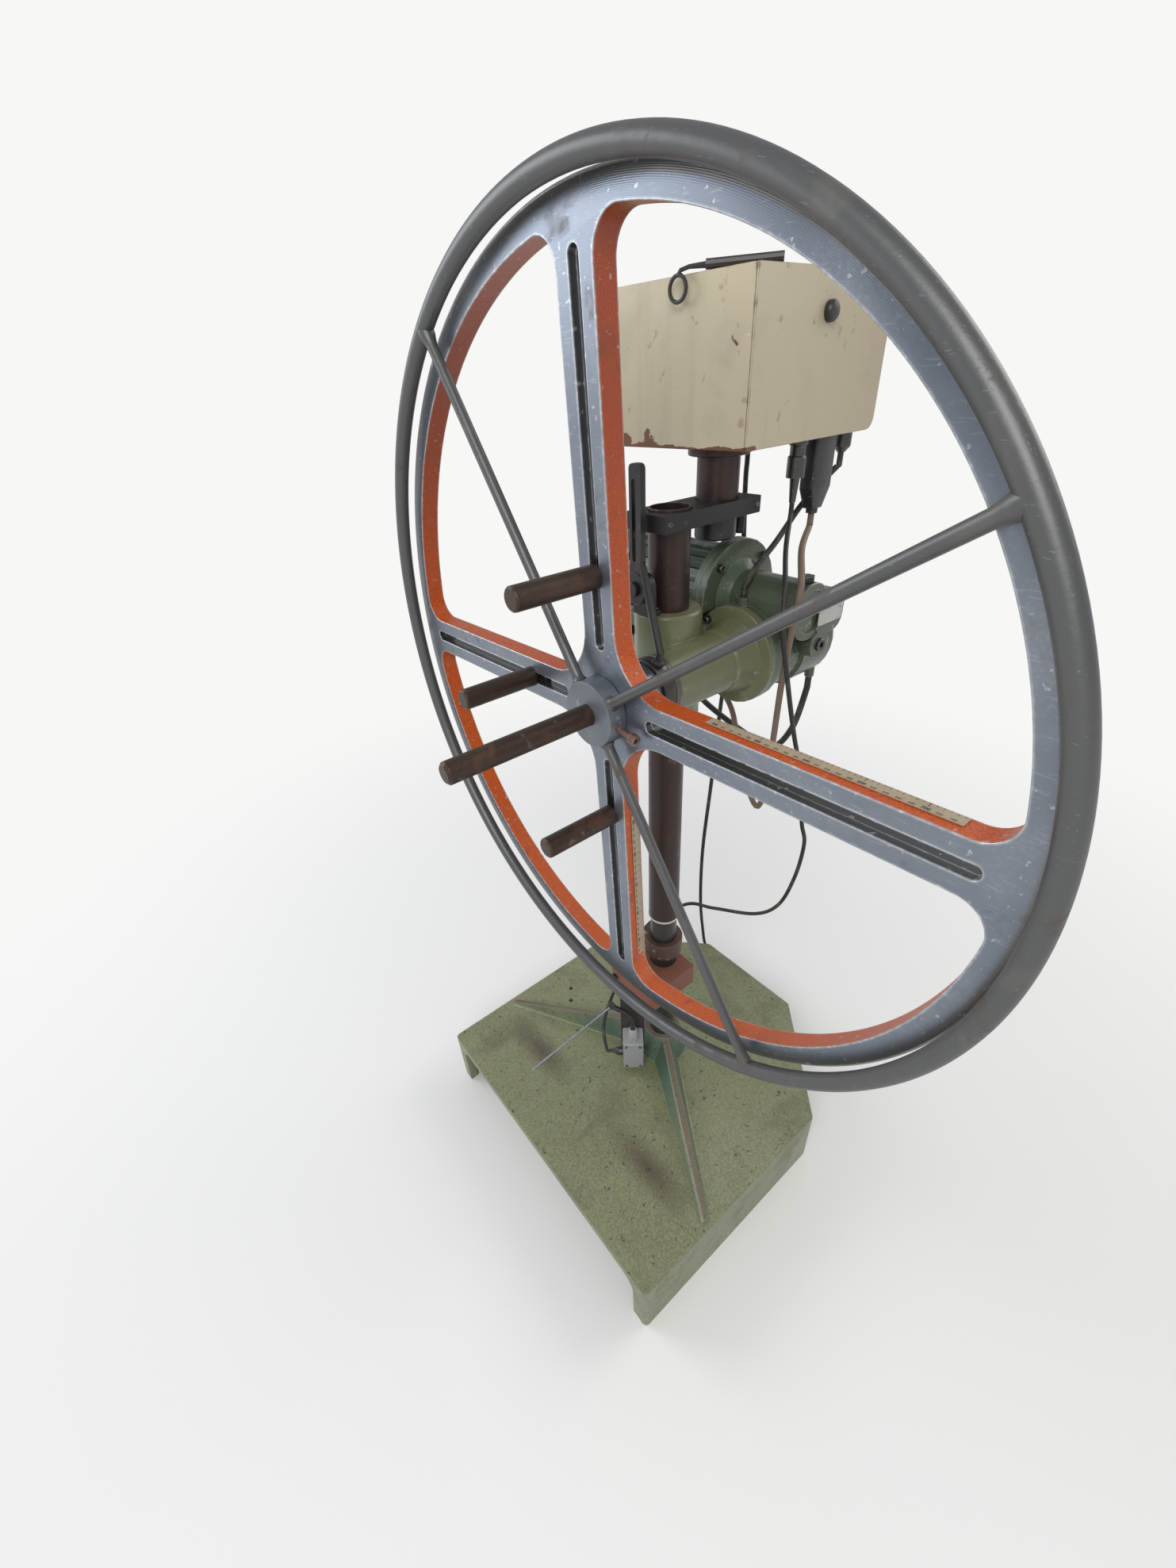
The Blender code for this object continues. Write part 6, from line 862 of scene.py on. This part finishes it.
# Motor: a finned aluminium barrel painted green-grey, its cowl over the fan, and the terminal box
# under it with a screwed lid. Socket screws hold its flange to the gearbox.
motor_green = finish_paint(
    "motor_green_paint", (0.06, 0.085, 0.062), (0.095, 0.118, 0.086),
    chip=(0.38, 0.39, 0.37), dust=(0.085, 0.068, 0.046), roughness=0.32, chips=0.18, dirt=0.5, bump=0.12)
for node, edge in (("motor_body", 0.0006), ("fan_cowl", 0.0006), ("terminal_box", 0.0012)):
    dressed(node, "head", motor_green, edge)
places = bow((worm_y, worm_z), 0.06, 0.25 * math.pi, 0.75 * math.pi, 2)
screw_row("motor_flange_screw", [(0.015, y, z) for y, z in places], (1, 0, 0), 0.0048, "head")
places = [(x, y, 0.8957) for x in (-0.118, -0.042) for y in (worm_y - 0.029, worm_y + 0.029)]
screw_row("lid_screw", places, (0, 0, -1), 0.003, "head", 0.0022)


# Brake: a flat slotted hand lever on a small black bracket, with a welded rod that carries a rubber
# pad to the drum. Black paint, rubbed to brown steel along the slot and the edges.
lever_black = finish_paint(
    "lever_black_paint", (0.018, 0.017, 0.017), (0.036, 0.032, 0.03),
    chip=(0.13, 0.09, 0.07), dust=(0.07, 0.055, 0.045), chips=0.35, edge=0.0009, dirt=0.45)
dressed("lever_bracket", "head", lever_black, 0.0008)
dressed("brake_lever", "lever", lever_black, 0.0005)
dressed("brake_pad", "lever", black_rubber, 0.0006)
places = [(x, -0.0318, 1.0063) for x in (-0.011, 0.011)]
screw_row("bracket_screw", places, (0, 0, 1), 0.003, "head", 0.0026)


# Column and post: a thin-walled outer tube of old dark brown steel over a post in black paint,
# with a white plastic ring where the tube ends, a split collar and a red-brown bracket.
column_steel = finish_metal(
    "column_steel", (0.048, 0.031, 0.028), (0.08, 0.052, 0.046), rust=(0.075, 0.032, 0.018),
    bright=(0.26, 0.22, 0.21), roughness=0.38, rusty=0.35, metallic=0.55, bump=0.1)
post_black = finish_paint(
    "post_black_paint", (0.028, 0.026, 0.026), (0.05, 0.045, 0.042), chip=(0.15, 0.12, 0.1),
    dust=(0.13, 0.11, 0.09), roughness=0.36, chips=0.25)
ring_white = finish_plastic(
    "ring_white_plastic", (0.62, 0.58, 0.5), (0.5, 0.45, 0.37), dust=(0.22, 0.16, 0.11),
    dirt=0.5)
red_block = finish_paint(
    "red_brown_paint", (0.205, 0.075, 0.05), (0.15, 0.06, 0.045), dust=(0.16, 0.12, 0.09),
    roughness=0.5, dirt=0.5)
collar_brown = finish_metal(
    "collar_brown_steel", (0.105, 0.07, 0.05), (0.15, 0.105, 0.08), rust=(0.12, 0.05, 0.026),
    roughness=0.45, rusty=0.4, metallic=0.5)
for node, material, edge in (
        ("column_tube", column_steel, 0.0004), ("post", post_black, 0.0004),
        ("end_ring", ring_white, 0.0003), ("foot_collar", collar_brown, 0.0006),
        ("foot_bracket", red_block, 0.0008)):
    dressed(node, "stand", material, edge)
socket_screw("bracket_side_screw", (-0.038, -0.08, 0.345), (0, -1, 0), 0.006, "stand")
socket_screw("collar_screw", (-0.02, -0.0262, 0.41), (-0.35, -1, 0), 0.0042, "stand")


# Limit switch: a die-cast body on a bent steel hanger, with a wobble stick in its head. The black
# stick bends over into a thin steel rod that rides on the strip's loop.
cast_grey = finish_paint(
    "switch_cast_grey", (0.3, 0.31, 0.32), (0.23, 0.24, 0.25), chip=(0.5, 0.5, 0.5),
    dust=(0.2, 0.17, 0.13), roughness=0.42, scale=2.0, chips=0.25)
hanger_steel = finish_metal(
    "hanger_steel", (0.075, 0.068, 0.065), (0.13, 0.11, 0.1), rusty=0.35)
for node, material, edge in (
        ("switch_hanger", hanger_steel, 0.0006), ("switch_body", cast_grey, 0.001),
        ("switch_head", cast_grey, 0.0005), ("switch_gland", black_plastic, 0.0005)):
    dressed(node, "stand", material, edge)
feeler = dressed("feeler_arm", "feeler", black_rubber, 0.0002)
feeler.data.materials.append(guard_hub)
middles = np.zeros(len(feeler.data.polygons) * 3)
feeler.data.polygons.foreach_get("center", middles)
rod_from = -0.098
bare_rod = middles.reshape(-1, 3)[:, 1] < rod_from
feeler.data.polygons.foreach_set("material_index", bare_rod.astype(np.int32))
places = [(switch_x + switch_c * offset, switch_y + switch_s * offset, z)
          for z in (0.141, 0.199) for offset in (-0.013, 0.013)]
screw_row("switch_cover_screw", places, (switch_s, -switch_c, 0), 0.0026, "stand", 0.0016)


# Foot: one iron casting with skirts and two ribs that run out to the front corners. Olive paint with
# brown oil stains on the plate, blue-green rib flanks, rubbed pale along their edges, brown rib tops.
def foot_colours(coords, tone):
    """Brown pools on the plate, blue-green where a rib's flank rises, brown along its ridge."""
    place = parts_of(coords)
    grains = ramp(noise(coords, 260, 5), 0.42, 0.62, 0, 0.55)
    tone = over(grains, tone, (0.262, 0.278, 0.16))
    pools = stains(coords, 7, 0.44, 0.22)
    tone = over(times(pools, 0.6), tone, (0.078, 0.06, 0.04))
    for middle in ((-0.145, -0.194, 0.12), (0.155, -0.185, 0.12)):
        stain = near(coords, middle, (0.105, 0.036, 0.05), 0.9)
        tone = over(times(stain, 0.8), tone, (0.07, 0.05, 0.042))
    raised = ramp(place[2], 0.1206, 0.124)
    patchy = stains(coords, 12, 0.62, 0.25)
    teal = over(patchy, (0.075, 0.125, 0.092), (0.12, 0.15, 0.092))
    boss = near(coords, (0, 0, 0.13), (0.21, 0.21, 0.12), 0.5)
    tone = over(times(raised, between(boss, 0.35, 1)), tone, teal)
    normal = put(coords.id_data, "NewGeometry").outputs["True Normal"]
    ridge = ramp(parts_of(normal)[2], 0.93, 0.97)
    tone = over(times(times(raised, ridge), 0.85), tone, (0.135, 0.098, 0.07))
    specks = stains(coords, 120, 0.26, 0.03)
    return over(times(specks, 0.8), tone, (0.04, 0.032, 0.022))


foot_paint = finish_paint(
    "foot_olive_paint", (0.17, 0.18, 0.098), (0.128, 0.134, 0.074), chip=(0.25, 0.29, 0.21),
    dust=(0.075, 0.058, 0.036), roughness=0.36, cover=0.5, chips=0.1, edge=0.0022, dirt=0.5, bump=0.22,
    extra=foot_colours)
dressed("base_casting", "stand", foot_paint, 0.0022)


# Clamp plate and upper tube: a black steel plate, slit at both ends and drawn together by side screws,
# grips the column and the short tube that is welded to the flange under the control box.
clamp_black = finish_paint(
    "clamp_black_paint", (0.012, 0.012, 0.012), (0.026, 0.024, 0.023),
    chip=(0.12, 0.11, 0.1), dust=(0.04, 0.033, 0.026), roughness=0.52, chips=0.12, edge=0.0007)
for node, material, edge in (
        ("clamp_plate", clamp_black, 0.0008), ("upper_tube", column_steel, 0.0006),
        ("tube_plug", black_plastic, 0.0008)):
    dressed(node, "stand", material, edge)
places = [(0.0317, y, 1.1035) for y in (-0.031, 0.116)]
screw_row("clamp_side_screw", places, (1, 0, 0), 0.0032, "stand", 0.0012)


# Control box: folded sheet steel in cream paint, grimy in streaks and darker towards its rear, rusty and
# peeled along the lower front edge, with a hinged side panel held by one black knob.
def box_colours(coords, tone):
    """Peeled rust along the lower front edge, grime in upright streaks, a darker brown towards the rear."""
    place = parts_of(coords)
    ragged = noise(coords, 55, 6)
    low = ramp(place[2], 1.169, 1.1755, 0.5, 0)
    torn = most(near(coords, (-0.072, 0.03, 1.166), (0.03, 0.05, 0.034), 0.9),
                near(coords, (-0.11, 0.03, 1.166), (0.022, 0.05, 0.026), 0.9))
    torn = between(torn, 0, 0.62)
    ahead = ramp(place[1], 0.06, 0.05)
    peeled = ramp(maths("ADD", times(most(low, torn), ahead), ragged), 0.78, 0.8)
    fleck = stains(coords, 80, 0.4, 0.1)
    rust = over(fleck, (0.15, 0.06, 0.026), (0.07, 0.032, 0.018))
    lie = put(coords.id_data, "Mapping", {"Vector": coords, "Scale": (40, 40, 2.5)}).outputs[0]
    runs = ramp(noise(lie, 1, 5), 0.52, 0.72, 0, 0.45)
    tone = over(times(runs, 0.5), tone, (0.2, 0.165, 0.11))
    # Darker and browner towards the rear.
    tone = over(ramp(place[1], 0.035, 0.3, 0, 0.55), tone, (0.3, 0.245, 0.165))
    return over(peeled, tone, rust)


cream_paint = finish_paint(
    "cream_box_paint", (0.5, 0.44, 0.31), (0.41, 0.352, 0.24), chip=(0.105, 0.055, 0.035),
    dust=(0.24, 0.2, 0.14), roughness=0.38, cover=0.45, chips=0.16, dirt=0.4, bump=0.08, extra=box_colours)
dressed("box_shell", "stand", cream_paint, 0.0008)
dressed("box_door", "door", cream_paint, 0.0006)
dressed("door_knob", "door", black_plastic, 0.0006)


# What the box holds and what hangs under it: a transformer, a relay board, three connectors, the
# mains gland, and the dark eye bar that lies across the lid.
board_green = finish_plastic(
    "board_green", (0.02, 0.115, 0.055), (0.03, 0.15, 0.075), roughness=0.3)
grey_metal = finish_metal(
    "connector_metal", (0.09, 0.088, 0.084), (0.06, 0.058, 0.056), roughness=0.34, scale=2.0,
    rusty=0.12, metallic=0.9)
eye_black = finish_paint(
    "eye_bar_black", (0.028, 0.026, 0.025), (0.06, 0.048, 0.04), chip=(0.16, 0.11, 0.08),
    edge=0.0006)
for node, material, edge in (
        ("transformer", guard_grey, 0.0008), ("control_board", board_green, 0.0003),
        ("connector_sensor", grey_metal, 0.0004), ("connector_hood", black_plastic, 0.0008),
        ("connector_motor", grey_metal, 0.0004), ("mains_gland", black_plastic, 0.0005),
        ("eye_bar", eye_black, 0.0003)):
    dressed(node, "stand", material, edge)


bpy.context.view_layer.update()
